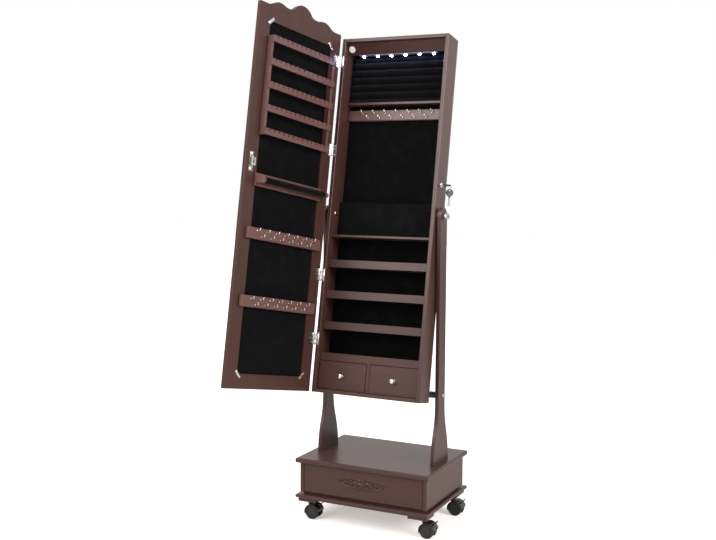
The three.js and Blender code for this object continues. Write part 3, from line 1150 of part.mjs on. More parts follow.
const mirrorCabinet = new THREE.Group();
mirrorCabinet.add(base(), uprights(), cabinet());
for (const [corner, side, fore] of [['front_left', -1, -1], ['front_right', 1, -1],
  ['back_left', -1, 1], ['back_right', 1, 1]]) {
  mirrorCabinet.add(caster(corner, side, fore));
}

export default mirrorCabinet;
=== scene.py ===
"""Dresses the tilting jewelry mirror cabinet and sets it in a plain studio.

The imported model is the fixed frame. Its boards, wheels and fittings keep their shape and
get their finishes here; the ring cushion and the cloth pocket are replaced by soft pieces,
and small fittings such as hooks, screws, clips and lamp lenses are added. Sub-assemblies
are drawn in their own millimetres, upright, and are then put in place in metres.
"""

import logging
import math
from dataclasses import dataclass
from enum import Enum
from typing import Callable, ClassVar, Iterable

import bpy
from mathutils import Euler, Matrix, Vector

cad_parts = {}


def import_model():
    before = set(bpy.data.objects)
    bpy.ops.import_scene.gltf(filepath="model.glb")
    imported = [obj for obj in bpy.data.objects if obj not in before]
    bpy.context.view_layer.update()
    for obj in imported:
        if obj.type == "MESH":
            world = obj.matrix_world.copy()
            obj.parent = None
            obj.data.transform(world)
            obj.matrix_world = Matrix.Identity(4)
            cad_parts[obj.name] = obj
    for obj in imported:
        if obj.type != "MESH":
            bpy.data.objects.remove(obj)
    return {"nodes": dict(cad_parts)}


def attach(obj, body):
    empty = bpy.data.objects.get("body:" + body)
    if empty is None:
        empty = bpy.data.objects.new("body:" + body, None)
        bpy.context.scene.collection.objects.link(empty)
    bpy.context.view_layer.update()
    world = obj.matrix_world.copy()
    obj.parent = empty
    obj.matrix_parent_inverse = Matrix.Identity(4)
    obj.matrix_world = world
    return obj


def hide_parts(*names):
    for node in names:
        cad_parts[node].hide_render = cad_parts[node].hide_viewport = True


LOG = logging.getLogger("mirror_cabinet")

Piece = bpy.types.Object
Socket = bpy.types.NodeSocket
Triple = tuple[float, float, float]
Colour = tuple[float, float, float, float]
FaceTest = Callable[[bpy.types.MeshPolygon], bool]

TILT = math.radians(10.7)
DOOR_OPEN = math.radians(103.7)
PIVOT = Vector((0.0, -4.0, 779.2))
HINGE = Vector((-189.0, -35.4, 0.0))
GROUND = -0.2059
QUARTER = math.pi / 2
SIDES = ((-1, "left"), (1, "right"))

MILLIMETRE = Matrix.Scale(0.001, 4)
CABINET_PLACE = MILLIMETRE @ Matrix.Translation(PIVOT) @ Matrix.Rotation(-TILT, 4, "X")
DOOR_PLACE = CABINET_PLACE @ Matrix.Translation(HINGE) @ Matrix.Rotation(-DOOR_OPEN, 4, "Z")


class Frame(Enum):
    """The drawing frames, each named after the body that its boards belong to."""

    BASE = "base"
    CABINET = "cabinet"
    DOOR = "door"

    @property
    def place(self) -> Matrix:
        """Matrix from this frame's millimetres to the model's metres."""
        return {"base": MILLIMETRE, "cabinet": CABINET_PLACE, "door": DOOR_PLACE}[self.value]

    @property
    def unturn(self) -> Euler:
        """Turn that brings a point of the model back upright in this frame."""
        turns = {"base": (0.0, 0.0), "cabinet": (TILT, 0.0), "door": (TILT, DOOR_OPEN)}
        x, z = turns[self.value]
        return Euler((x, 0.0, z))


class Along(Enum):
    """Direction of a board's grain in its own frame."""

    X = 0
    Z = 2


def srgb(red: int, green: int, blue: int) -> Colour:
    """Turns a screen colour into a linear one.

    Args:
        red: Red from 0 to 255.
        green: Green from 0 to 255.
        blue: Blue from 0 to 255.

    Returns:
        The linear colour with an alpha of 1.
    """
    shares = (value / 255 for value in (red, green, blue))
    return (*(share / 12.92 if share <= 0.04045 else ((share + 0.055) / 1.055) ** 2.4 for share in shares), 1.0)


def shift(x: float, y: float, z: float) -> Matrix:
    """Move along the three axes."""
    return Matrix.Translation((x, y, z))


def spin(angle: float, axis: str) -> Matrix:
    """Turn by an angle in radians about an axis."""
    return Matrix.Rotation(angle, 4, axis)


# ------------------------------------------------------------------ node groups
class Graph:
    """Adds nodes to a tree and feeds them."""

    def __init__(self, tree: bpy.types.NodeTree) -> None:
        """Takes the tree to draw in."""
        self.tree = tree

    def feed(self, socket: Socket, value: object) -> None:
        """Links a source socket to a socket, or sets the socket's own value."""
        if isinstance(value, Socket):
            self.tree.links.new(value, socket)
        else:
            socket.default_value = value

    def add(self, kind: str, inputs: dict[str | int, object] | None = None, **settings: object) -> bpy.types.Node:
        """Adds a shader node.

        Args:
            kind: Its type, without the word ShaderNode.
            inputs: Source or value of each input that doesn't keep its own.
            settings: Values of its properties.

        Returns:
            The new node.
        """
        node = self.tree.nodes.new(f"ShaderNode{kind}")
        for label, value in settings.items():
            setattr(node, label, value)
        for label, value in (inputs or {}).items():
            self.feed(node.inputs[label], value)
        return node

    def calc(self, operation: str, first: object, second: object) -> Socket:
        """Adds a Math node and gives its result."""
        return self.add("Math", {0: first, 1: second}, operation=operation).outputs[0]

    def times(self, first: object, second: object) -> Socket:
        """The product of two sockets or numbers."""
        return self.calc("MULTIPLY", first, second)

    def plus(self, first: object, second: object) -> Socket:
        """The sum of two sockets or numbers."""
        return self.calc("ADD", first, second)

    def mix(self, share: Socket, first: Socket, second: Socket) -> Socket:
        """The mix of two colours; a share of 0 gives the first."""
        return self.add("Mix", {0: share, 6: first, 7: second}, data_type="RGBA").outputs[2]

    def spread(self, value: Socket, start: float, end: float, low: float = 0.0, high: float = 1.0) -> Socket:
        """Maps the range from start to end to the one from low to high, clamped."""
        inputs = {"Value": value, "From Min": start, "From Max": end, "To Min": low, "To Max": high}
        return self.add("MapRange", inputs).outputs["Result"]

    def noise(self, vector: Socket, scale: float, detail: float, rough: float = 0.6) -> Socket:
        """The value of a noise texture."""
        inputs = {"Vector": vector, "Scale": scale, "Detail": detail, "Roughness": rough}
        return self.add("TexNoise", inputs).outputs["Fac"]


class Effect:
    """A node group that finishes go through, built at its first use."""

    name: ClassVar[str]
    takes: ClassVar[dict[str, str]] = {"Vector": "Vector", "Colour": "Color", "Second Colour": "Color",
                                       "Roughness": "Float", "Amount": "Float"}

    def __init__(self) -> None:
        """Starts with nothing built."""
        self.tree: bpy.types.NodeTree | None = None

    def draw(self, graph: Graph, vector: Socket, colour: Socket, second: Socket, rough: Socket,
             amount: Socket) -> dict[str, Socket]:
        """Draws the effect in its group.

        Args:
            graph: The group's graph.
            vector: The coordinate.
            colour: Main colour.
            second: Colour that is mixed in.
            rough: Roughness of the plain surface.
            amount: Greatest share of the second colour.

        Returns:
            The sources of Colour and Roughness, and of Height where there is a relief.
        """
        raise NotImplementedError

    def group(self) -> bpy.types.NodeTree:
        """The effect's node group."""
        if self.tree is None:
            self.tree = bpy.data.node_groups.new(self.name, "ShaderNodeTree")
            face = self.tree.interface
            for label, kind in self.takes.items():
                face.new_socket(label, in_out="INPUT", socket_type=f"NodeSocket{kind}")
            given = self.tree.nodes.new("NodeGroupInput").outputs
            drawn = self.draw(Graph(self.tree), *(given[label] for label in self.takes))
            for label in drawn:
                kind = "NodeSocketColor" if label == "Colour" else "NodeSocketFloat"
                face.new_socket(label, in_out="OUTPUT", socket_type=kind)
            gives = self.tree.nodes.new("NodeGroupOutput").inputs
            for label, source in drawn.items():
                self.tree.links.new(source, gives[label])
        return self.tree


class Grain(Effect):
    """Lacquered open grain: long pores and soft figure; the coordinate arrives stretched."""

    name = "lacquered_grain"

    def draw(self, graph: Graph, vector: Socket, colour: Socket, second: Socket, rough: Socket,
             amount: Socket) -> dict[str, Socket]:
        """Blends figure, streaks and pores."""
        figure = graph.spread(graph.noise(vector, scale=1.6, detail=5.0), 0.35, 0.68)
        pores = graph.spread(graph.noise(vector, scale=14.0, detail=3.0), 0.52, 0.7)
        streaks = graph.spread(graph.noise(vector, scale=5.0, detail=4.0), 0.4, 0.65)
        blend = graph.plus(graph.times(figure, 0.45), graph.times(streaks, 0.3))
        blend = graph.plus(blend, graph.times(pores, 0.35))
        return {"Colour": graph.mix(graph.times(blend, amount), colour, second),
                "Roughness": graph.plus(rough, graph.times(pores, 0.08)), "Height": graph.times(blend, -1.0)}


class Handling(Effect):
    """Faint smudges and dust of a piece that is handled."""

    name = "handling_marks"

    def draw(self, graph: Graph, vector: Socket, colour: Socket, second: Socket, rough: Socket,
             amount: Socket) -> dict[str, Socket]:
        """Masks broad smudges."""
        smudges = graph.spread(graph.noise(vector, scale=9.0, detail=6.0, rough=0.5), 0.45, 0.75)
        share = graph.times(smudges, amount)
        return {"Colour": graph.mix(share, colour, second), "Roughness": graph.plus(rough, share)}


class Pile(Effect):
    """Velvet pile: fine fibre tips with brushed patches."""

    name = "velvet_pile"

    def draw(self, graph: Graph, vector: Socket, colour: Socket, second: Socket, rough: Socket,
             amount: Socket) -> dict[str, Socket]:
        """Lays patches over the fibres; a brushed patch is a little smoother."""
        fibres = graph.noise(vector, scale=900.0, detail=2.0, rough=0.5)
        patches = graph.spread(graph.noise(vector, scale=26.0, detail=3.0), 0.45, 0.7)
        share = graph.times(graph.plus(graph.times(patches, amount), graph.times(fibres, 0.5)), 0.6)
        return {"Colour": graph.mix(share, colour, second),
                "Roughness": graph.calc("SUBTRACT", rough, graph.times(patches, 0.15)), "Height": fibres}


class Polishing(Effect):
    """Fine polishing lines and light wear of plated metal; the coordinate arrives stretched."""

    name = "plated_lines"

    def draw(self, graph: Graph, vector: Socket, colour: Socket, second: Socket, rough: Socket,
             amount: Socket) -> dict[str, Socket]:
        """Draws the lines and mixes worn patches in."""
        lines = graph.noise(vector, scale=30.0, detail=3.0)
        wear = graph.spread(graph.noise(vector, scale=3.0, detail=5.0), 0.5, 0.72)
        return {"Colour": graph.mix(graph.times(wear, amount), colour, second),
                "Roughness": graph.plus(rough, graph.times(lines, 0.12)), "Height": lines}


class MouldGrain(Effect):
    """Fine spark-eroded grain of moulded plastic with faint flow marks."""

    name = "moulded_grain"

    def draw(self, graph: Graph, vector: Socket, colour: Socket, second: Socket, rough: Socket,
             amount: Socket) -> dict[str, Socket]:
        """Draws the grain and mixes scuffs in."""
        fine = graph.noise(vector, scale=1500.0, detail=2.0)
        scuffs = graph.spread(graph.noise(vector, scale=90.0, detail=6.0), 0.52, 0.75)
        return {"Colour": graph.mix(graph.times(scuffs, amount), colour, second),
                "Roughness": graph.plus(rough, graph.times(scuffs, 0.15)), "Height": fine}


# ------------------------------------------------------------------ finishes
@dataclass(frozen=True)
class Finish:
    """Two colours that go through an effect.

    Attributes:
        name: Start of its materials' names.
        slot: Name of a material slot; not used.
        colour: Main colour.
        second: Colour of pores, wear, dust or brushed pile.
        roughness: Roughness of the plain surface.
        amount: Greatest share of the second colour.
        bump: Strength of the relief.
    """

    name: str
    slot: str
    colour: Colour
    second: Colour
    roughness: float
    amount: float
    bump: float
    effect: ClassVar[Effect]
    relief: ClassVar[float] = 0.0002

    def label(self, frame: Frame, along: Along) -> str:
        """Name of the material for one frame and direction."""
        return f"{self.name}_{frame.value}"

    def scale(self, along: Along) -> Triple:
        """Scale of the effect along the frame's axes."""
        return (1.0, 1.0, 1.0)

    def constants(self) -> dict[str, object]:
        """Shader inputs that have one value all over a piece."""
        return {}

    def made(self, frame: Frame, along: Along = Along.X) -> bpy.types.Material:
        """Makes the material at its first use.

        Args:
            frame: The frame whose axes the effect follows.
            along: Direction of the grain in that frame.

        Returns:
            The material.
        """
        label = self.label(frame, along)
        if label in bpy.data.materials:
            return bpy.data.materials[label]
        material = bpy.data.materials.new(label)
        material.use_nodes = True
        material.diffuse_color = self.colour
        shader = material.node_tree.nodes["Principled BSDF"].inputs
        graph = Graph(material.node_tree)
        source = graph.add("TexCoord").outputs["Object"]
        upright = graph.add("Mapping", {"Vector": source, "Rotation": frame.unturn}).outputs["Vector"]
        scaled = graph.add("Mapping", {"Vector": upright, "Scale": self.scale(along)}).outputs["Vector"]
        inputs = {"Vector": scaled, "Colour": self.colour, "Second Colour": self.second,
                  "Roughness": self.roughness, "Amount": self.amount}
        surface = graph.add("Group", inputs, node_tree=self.effect.group()).outputs
        graph.feed(shader["Base Color"], surface["Colour"])
        graph.feed(shader["Roughness"], surface["Roughness"])
        if "Height" in surface:
            inputs = {"Strength": self.bump, "Distance": self.relief, "Height": surface["Height"]}
            graph.feed(shader["Normal"], graph.add("Bump", inputs).outputs["Normal"])
        for label, value in self.constants().items():
            graph.feed(shader[label], value)
        return material


@dataclass(frozen=True)
class Lacquer(Finish):
    """Lacquered wood whose grain follows each board."""

    coat: float = 0.05
    effect = Grain()

    def label(self, frame: Frame, along: Along) -> str:
        """Name of the material, with the direction of its grain."""
        return f"{super().label(frame, along)}_{along.name.lower()}"

    def scale(self, along: Along) -> Triple:
        """Stretches the pattern along the grain."""
        scale = [26.0, 26.0, 26.0]
        scale[along.value] = 1.7
        return tuple(scale)

    def constants(self) -> dict[str, object]:
        """The thin coat of lacquer."""
        return {"Coat Weight": self.coat, "Coat Roughness": 0.18, "Specular IOR Level": 0.27}


@dataclass(frozen=True)
class Velvet(Finish):
    """Short dark pile with a soft sheen."""

    sheen: float
    effect = Pile()
    relief = 0.0004

    def constants(self) -> dict[str, object]:
        """The sheen of the pile."""
        return {"Sheen Weight": self.sheen, "Sheen Roughness": 0.45, "Specular IOR Level": 0.07}


@dataclass(frozen=True)
class Plating(Finish):
    """Plated or polished metal."""

    effect = Polishing()
    relief = 0.00005

    def scale(self, along: Along) -> Triple:
        """Squeezes the pattern into lines across Z."""
        return (10.0, 10.0, 60.0)

    def constants(self) -> dict[str, object]:
        """Makes it a metal."""
        return {"Metallic": 1.0}


@dataclass(frozen=True)
class Moulding(Finish):
    """Moulded plastic."""

    effect = MouldGrain()
    relief = 0.00006


@dataclass(frozen=True)
class Silvering(Finish):
    """Silvered mirror glass with faint wiping marks."""

    effect = Handling()

    def scale(self, along: Along) -> Triple:
        """Draws the marks out along Z."""
        return (1.0, 1.0, 0.4)

    def constants(self) -> dict[str, object]:
        """The silver and the glass over it."""
        return {"Metallic": 1.0, "Coat Weight": 1.0, "Coat Roughness": 0.02}


@dataclass(frozen=True)
class Glow(Moulding):
    """Lit lens of a small lamp."""

    strength: float = 150.0
    relief = 0.00002

    def constants(self) -> dict[str, object]:
        """The light it gives."""
        return {"Emission Color": self.colour, "Emission Strength": self.strength}


BROWN = Lacquer("brown_lacquer", "brown_wood", srgb(69, 44, 38), srgb(38, 22, 20), 0.33, 0.4, 0.12)
# Darker, glossier copy of the brown lacquer for the carving: painted shade that gives the carving its contrast.
CARVED_BROWN_PAINTED_SHADE = Lacquer("carved_lacquer_painted_shade", "brown_wood", srgb(52, 32, 28), srgb(26, 15, 14), 0.22, 0.4, 0.12, 0.35)
# Lighter copy of the brown lacquer for the rails: a painted highlight for the front light that they catch.
RAIL_BROWN_PAINTED_HIGHLIGHT = Lacquer("rail_lacquer_painted_highlight", "brown_wood", srgb(104, 74, 70), srgb(60, 38, 38), 0.3, 0.4, 0.12)
VELVET = Velvet("black_velvet", "black_velvet", srgb(5, 4, 5), srgb(13, 12, 14), 0.95, 0.35, 0.35, 0.06)
CLOTH = Velvet("pocket_satin", "black_velvet", srgb(10, 10, 12), srgb(20, 19, 22), 0.95, 0.3, 0.2, 0.05)
NICKEL = Plating("nickel_plate", "nickel", srgb(206, 203, 197), srgb(150, 146, 140), 0.2, 0.25, 0.06)
CHROME = Plating("polished_chrome", "chrome", srgb(178, 178, 180), srgb(128, 128, 130), 0.08, 0.12, 0.02)
KEY_STEEL = Plating("key_steel", "nickel", srgb(112, 110, 106), srgb(78, 76, 73), 0.28, 0.25, 0.05)
BLACK_PLASTIC = Moulding("black_plastic", "black_plastic", srgb(9, 8, 8), srgb(34, 32, 31), 0.24, 0.25, 0.15)
TYRE = Moulding("wheel_tread", "black_plastic", srgb(14, 13, 13), srgb(46, 44, 42), 0.42, 0.4, 0.3)
WHITE_PLASTIC = Moulding("white_plastic", "white_plastic", srgb(238, 237, 233), srgb(214, 211, 204), 0.3, 0.3, 0.05)
KEY_COATING = Moulding("key_coating", "key_black", srgb(24, 26, 25), srgb(66, 66, 64), 0.38, 0.35, 0.12)
# Dark board tinted blue: the blue tint is a painted glow of its lamps.
LAMP_BOARD_PAINTED_GLOW = Moulding("lamp_board_painted_glow", "white_plastic", srgb(52, 50, 70), srgb(76, 74, 96), 0.4, 0.2, 0.05)
MIRROR = Silvering("mirror_silver", "mirror", srgb(226, 231, 233), srgb(200, 205, 206), 0.015, 0.03, 0.0)
LAMP = Glow("lamp_lens", "white_plastic", srgb(170, 186, 255), srgb(160, 176, 250), 0.2, 0.1, 0.02)


# ------------------------------------------------------------------ bench
def upper(face: bpy.types.MeshPolygon) -> bool:
    """Says whether a face looks up."""
    return face.normal.z > 0.9


class Bench:
    """Adds primitives and shapes them with operators."""

    @staticmethod
    def clear() -> None:
        """Leaves edit mode and deselects everything."""
        if bpy.context.object is not None and bpy.context.object.mode != "OBJECT":
            bpy.ops.object.mode_set(mode="OBJECT")
        bpy.ops.object.select_all(action="DESELECT")

    @classmethod
    def hold(cls, piece: Piece) -> None:
        """Makes a piece the only selected and active object."""
        cls.clear()
        piece.select_set(True)
        bpy.context.view_layer.objects.active = piece

    @staticmethod
    def _added(name: str, size: Triple = (1.0, 1.0, 1.0)) -> Piece:
        """Names the primitive that was just added, sizes it and applies its place."""
        piece = bpy.context.object
        piece.scale = size
        piece.name = name
        piece.data.name = name
        bpy.ops.object.transform_apply(location=True, rotation=True, scale=True)
        return piece

    @classmethod
    def block(cls, name: str, size: Triple, middle: Triple = (0, 0, 0)) -> Piece:
        """Adds a block.

        Args:
            name: Name of the piece.
            size: Its size along X, Y and Z.
            middle: Its middle.

        Returns:
            The new piece.
        """
        cls.clear()
        bpy.ops.mesh.primitive_cube_add(size=1.0, location=middle)
        return cls._added(name, size)

    @classmethod
    def disc(cls, name: str, radius: float, depth: float, middle: Triple = (0, 0, 0),
             turn: Triple = (0, 0, 0), sides: int = 32) -> Piece:
        """Adds a cylinder whose axis is Z before the turn.

        Args:
            name: Name of the piece.
            radius: Its radius.
            depth: Its length.
            middle: Its middle.
            turn: Its turn about X, Y and Z.
            sides: Number of its sides.

        Returns:
            The new piece.
        """
        cls.clear()
        bpy.ops.mesh.primitive_cylinder_add(vertices=sides, radius=radius, depth=depth, location=middle,
                                            rotation=turn)
        return cls._added(name)

    @classmethod
    def ring(cls, name: str, radius: float, wire: float, middle: Triple = (0, 0, 0),
             turn: Triple = (0, 0, 0)) -> Piece:
        """Adds a ring of round wire about Z before the turn.

        Args:
            name: Name of the piece.
            radius: Radius of the ring's middle line.
            wire: Radius of the wire.
            middle: The ring's middle.
            turn: Its turn about X, Y and Z.

        Returns:
            The new piece.
        """
        cls.clear()
        bpy.ops.mesh.primitive_torus_add(major_radius=radius, minor_radius=wire, major_segments=48,
                                         minor_segments=10, location=middle, rotation=turn)
        return cls._added(name)

    @classmethod
    def sheet(cls, name: str, width: float, height: float, across: int, up: int) -> Piece:
        """Adds a gridded sheet in the XZ plane, its middle at the origin and facing -Y.

        Args:
            name: Name of the piece.
            width: Its width along X.
            height: Its height along Z.
            across: Number of squares along X.
            up: Number of squares along Z.

        Returns:
            The new piece.
        """
        cls.clear()
        bpy.ops.mesh.primitive_grid_add(x_subdivisions=across, y_subdivisions=up, size=1.0,
                                        rotation=(QUARTER, 0, 0))
        return cls._added(name, (width, height, 1.0))

    @classmethod
    def rod(cls, name: str, points: list[Triple], radius: float, sides: int) -> Piece:
        """Draws a smooth round wire through points, closed at both ends.

        Args:
            name: Name of the piece.
            points: Points that the wire's middle line follows.
            radius: Radius of the wire.
            sides: Number of its sides.

        Returns:
            The new piece.
        """
        cls.clear()
        bpy.ops.curve.primitive_nurbs_path_add()
        wire = bpy.context.object
        wire.name = name
        curve = wire.data
        curve.splines.clear()
        line = curve.splines.new("NURBS")
        line.points.add(len(points) - 1)
        for point, place in zip(line.points, points):
            point.co = (*place, 1.0)
        line.order_u = 3
        line.use_endpoint_u = True
        line.resolution_u = 4
        curve.bevel_depth = radius
        curve.bevel_resolution = sides // 4
        curve.use_fill_caps = True
        bpy.ops.object.convert(target="MESH")
        wire = bpy.context.object
        cls.hold(wire)
        bpy.ops.object.mode_set(mode="EDIT")
        bpy.ops.mesh.select_all(action="SELECT")
        bpy.ops.mesh.remove_doubles(threshold=0.001)
        bpy.ops.mesh.normals_make_consistent(inside=False)
        bpy.ops.object.mode_set(mode="OBJECT")
        return wire

    @classmethod
    def shaped(cls, piece: Piece, kind: str, **settings: object) -> Piece:
        """Adds a modifier with these settings and applies it.

        Args:
            piece: The piece to change.
            kind: Type of the modifier.
            settings: Values of its properties.

        Returns:
            The same piece.
        """
        cls.hold(piece)
        modifier = piece.modifiers.new(kind.lower(), kind)
        for label, value in settings.items():
            setattr(modifier, label, value)
        bpy.ops.object.modifier_apply(modifier=modifier.name)
        return piece

    @classmethod
    def eased(cls, piece: Piece, width: float, segments: int = 2, angle: float = 30.0) -> Piece:
        """Bevels the edges sharper than an angle in degrees."""
        return cls.shaped(piece, "BEVEL", width=width, segments=segments, limit_method="ANGLE",
                          angle_limit=math.radians(angle))

    @classmethod
    def cut(cls, piece: Piece, cutter: Piece) -> Piece:
        """Takes a cutter's shape out of a piece and removes the cutter."""
        cls.shaped(piece, "BOOLEAN", operation="DIFFERENCE", object=cutter)
        bpy.data.objects.remove(cutter)
        return piece

    @classmethod
    def sunk(cls, piece: Piece, wanted: FaceTest, inset: float, depth: float) -> Piece:
        """Insets faces and moves them along their normal.

        Args:
            piece: The piece to change.
            wanted: Picks the faces.
            inset: Width of the rim that stays.
            depth: How far the inner part is moved; below 0 is inwards.

        Returns:
            The same piece.
        """
        cls.hold(piece)
        bpy.ops.object.mode_set(mode="EDIT")
        bpy.ops.mesh.select_mode(type="FACE")
        bpy.ops.mesh.select_all(action="DESELECT")
        bpy.ops.object.mode_set(mode="OBJECT")
        for face in piece.data.polygons:
            face.select = wanted(face)
        bpy.ops.object.mode_set(mode="EDIT")
        bpy.ops.mesh.inset(thickness=inset, depth=depth)
        bpy.ops.object.mode_set(mode="OBJECT")
        return piece

    @classmethod
    def joined(cls, name: str, pieces: Iterable[Piece]) -> Piece:
        """Joins pieces into one that has this name."""
        pieces = list(pieces)
        cls.clear()
        for piece in pieces:
            piece.select_set(True)
        bpy.context.view_layer.objects.active = pieces[0]
        bpy.ops.object.join()
        pieces[0].name = name
        return pieces[0]

    @classmethod
    def bead(cls, name: str, size: Triple, width: float, middle: Triple) -> Piece:
        """Makes a thin frame in the XZ plane.

        Args:
            name: Name of the piece.
            size: Its outer size.
            width: Width of its strips.
            middle: Its middle.

        Returns:
            The new piece.
        """
        through = 8.0
        hole = (size[0] - 2 * width, through, size[2] - 2 * width)
        return cls.cut(cls.block(name, size, middle), cls.block("hole", hole, middle))

    @classmethod
    def screw(cls, radius: float, height: float) -> Piece:
        """A pattern of a screw: a domed head with a cross slot, facing +Z from the origin."""
        head = cls.disc("screw_pattern", radius, height, (0, 0, height / 2), sides=20)
        cls.eased(head, height * 0.45, 2, 60)
        for turn in (0.0, QUARTER):
            slit = cls.block("slit", (radius * 1.3, radius * 0.28, height), (0, 0, height * 1.05))
            slit.data.transform(spin(turn, "Z"))
            cls.cut(head, slit)
        return head


@dataclass
class SubAssembly:
    """A group of pieces that is dressed together."""

    nodes: dict[str, Piece]
    frame: Frame = Frame.CABINET

    def dress(self, finish: Finish, *names: str, along: Along = Along.X, frame: Frame | None = None) -> None:
        """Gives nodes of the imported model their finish.

        Args:
            finish: The finish.
            names: Names of the nodes.
            along: Direction of their grain.
            frame: Their frame, where it isn't the sub-assembly's own.
        """
        for name in names:
            mesh = self.nodes[name].data
            mesh.materials.clear()
            mesh.materials.append(finish.made(frame or self.frame, along))
            LOG.info("dressed %s", name)

    def place(self, piece: Piece, finish: Finish, body: str = "", smooth: float = 35.0, *,
              move: Matrix | None = None, along: Along = Along.X, frame: Frame | None = None) -> Piece:
        """Puts a finished piece in place, dresses it and lets it ride.

        Args:
            piece: The piece, drawn in millimetres.
            finish: Its finish.
            body: The body it rides on, where it isn't the one its frame is named after.
            smooth: Faces that meet below this angle in degrees look smooth.
            move: Its move within its frame.
            along: Direction of its grain.
            frame: Its frame, where it isn't the sub-assembly's own.

        Returns:
            The same piece.
        """
        frame = frame or self.frame
        body = body or frame.value
        if move is not None:
            piece.data.transform(move)
        piece.data.transform(frame.place)
        piece.data.update()
        piece.data.materials.clear()
        piece.data.materials.append(finish.made(frame, along))
        Bench.hold(piece)
        bpy.ops.object.shade_smooth_by_angle(angle=math.radians(smooth))
        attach(piece, body)
        LOG.info("placed %s on %s", piece.name, body)
        return piece

    def repeat(self, pattern: Piece, name: str, move: Matrix, finish: Finish, smooth: float = 35.0,
               frame: Frame | None = None) -> None:
        """Places a copy of a pattern.

        Args:
            pattern: The pattern, which stays as it is.
            name: Name of the copy.
            move: Move of the copy from the pattern's place.
            finish: Its finish.
            smooth: Faces that meet below this angle in degrees look smooth.
            frame: Its frame, where it isn't the sub-assembly's own.
        """
        copy = pattern.copy()
        copy.data = pattern.data.copy()
        copy.name = name
        bpy.context.scene.collection.objects.link(copy)
        self.place(copy, finish, smooth=smooth, move=move, frame=frame)


# ------------------------------------------------------------------ base
@dataclass
class Base(SubAssembly):
    """The low box with its drawer, plinth and the two uprights."""

    drawer_face: float = -156.0
    drawer_middle: float = -64.6
    post_outer: float = 205.0
    stretcher_height: float = 212.6
    stretcher_back: float = 4.0
    frame: Frame = Frame.BASE

    # x, z, length, width, turn in degrees and rise of the leaves on one half of the scroll
    LEAVES: ClassVar = (
        (6, 2, 20, 10, 25, 3.4), (12, -3, 17, 9, -35, 3.2), (22, 8, 19, 9, 8, 3.2), (30, -4, 17, 8, -28, 3.0),
        (38, 3, 18, 8, 22, 3.0), (46, -4, 15, 7, -20, 2.8), (52, 2, 15, 7, 40, 2.8), (60, -5, 14, 6, 4, 2.6),
        (66, 2, 13, 5.5, 26, 2.4), (9, 9, 13, 8, 68, 2.8), (9, -9, 12, 7, -70, 2.8),
    )
    # x, z and radius of its berries
    BERRIES: ClassVar = ((17, 1, 2.2), (34, 5, 2.0), (49, -1, 1.8), (74, 4, 1.6))

    def build(self) -> None:
        """Dresses the boards and adds the carving, the bead and the bolt caps."""
        self.dress(BROWN, "base_top_board", "base_bottom_board", "base_carcass", "base_drawer", "stretcher")
        self.dress(BROWN, "post_left", "post_right", along=Along.Z)
        self._carving()
        bead = Bench.bead("drawer_bead", (404, 1.6, 85.6), 1.8, (0, self.drawer_face + 0.2, self.drawer_middle))
        self.place(Bench.eased(bead, 0.5), BROWN, "base_drawer")
        self._bolt_caps()

    def _leaf(self, name: str, length: float, width: float, rise: float) -> Piece:
        """Models one carved leaf that lies along +X from the origin and stands out to -Y.

        Args:
            name: Name of the piece.
            length: Length of the leaf.
            width: Its greatest width.
            rise: Height of its crown.

        Returns:
            The leaf.
        """
        leaf = Bench.sheet(name, length, width, 10, 6)
        leaf.data.transform(shift(length / 2, 0, 0))
        for vertex in leaf.data.vertices:
            share = vertex.co.x / length
            belly = math.sin(math.pi * min(1.0, share ** 0.75)) ** 0.8 * (1 - 0.25 * share)
            across = 2 * vertex.co.z / width
            vertex.co.z = across * width / 2 * max(belly, 0.04) + 0.22 * length * share * share
            crown = math.sqrt(max(0.0, 1 - across * across)) * math.sin(math.pi * (0.12 + 0.8 * share))
            rib = 0.35 * math.exp(-((across / 0.18) ** 2))
            vertex.co.y = -rise * (crown * (0.75 + 0.25 * math.cos(8 * across)) - rib * crown)
        return Bench.shaped(leaf, "SOLIDIFY", thickness=1.0, offset=1.0)

    def _carving(self) -> None:
        """Lays carved leaves and berries along the scroll on the drawer front."""
        parts = []
        for i, (x, z, length, width, turn, rise) in enumerate(self.LEAVES):
            for side in (1, -1):
                leaf = self._leaf(f"carved_leaf_{i}_{side}", length, width, rise)
                leaf.data.transform(Matrix.Scale(side, 4, (1, 0, 0)) @ shift(x, 0, z)
                                    @ spin(-math.radians(turn), "Y"))
                if side < 0:
                    leaf.data.flip_normals()
                parts.append(leaf)
        for x, z, radius in self.BERRIES:
            for side in (1, -1):
                berry = Bench.disc("berry", radius, 2.6, (side * x, -1.2, z), (QUARTER, 0, 0), 16)
                parts.append(Bench.eased(berry, radius * 0.55, 3, 60))
        heart = Bench.disc("heart", 4.2, 4.4, (0, -2.0, 0), (QUARTER, 0, 0), 24)
        Bench.sunk(heart, lambda face: face.normal.y < -0.9, 1.4, 1.2)
        parts.append(Bench.eased(heart, 0.6))
        # The carving takes the darker carved lacquer, which is painted shade for contrast.
        self.place(Bench.joined("carved_scroll", parts), CARVED_BROWN_PAINTED_SHADE, "base_drawer", 50,
                   move=shift(0, self.drawer_face - 0.3, self.drawer_middle))

    def _bolt_caps(self) -> None:
        """Adds the plated caps with a hexagon socket where the stretcher is bolted."""
        for side, label in SIDES:
            cap = Bench.disc(f"stretcher_bolt_{label}", 5.9, 2.9)
            cap.data.transform(shift(0, 0, 1.45))
            Bench.eased(cap, 1.2, 3, 60)
            Bench.cut(cap, Bench.disc("socket", 2.5, 3.0, (0, 0, 2.6), sides=6))
            at_post = shift(side * self.post_outer, self.stretcher_back, self.stretcher_height)
            self.place(cap, NICKEL, move=at_post @ spin(side * QUARTER, "Y"))


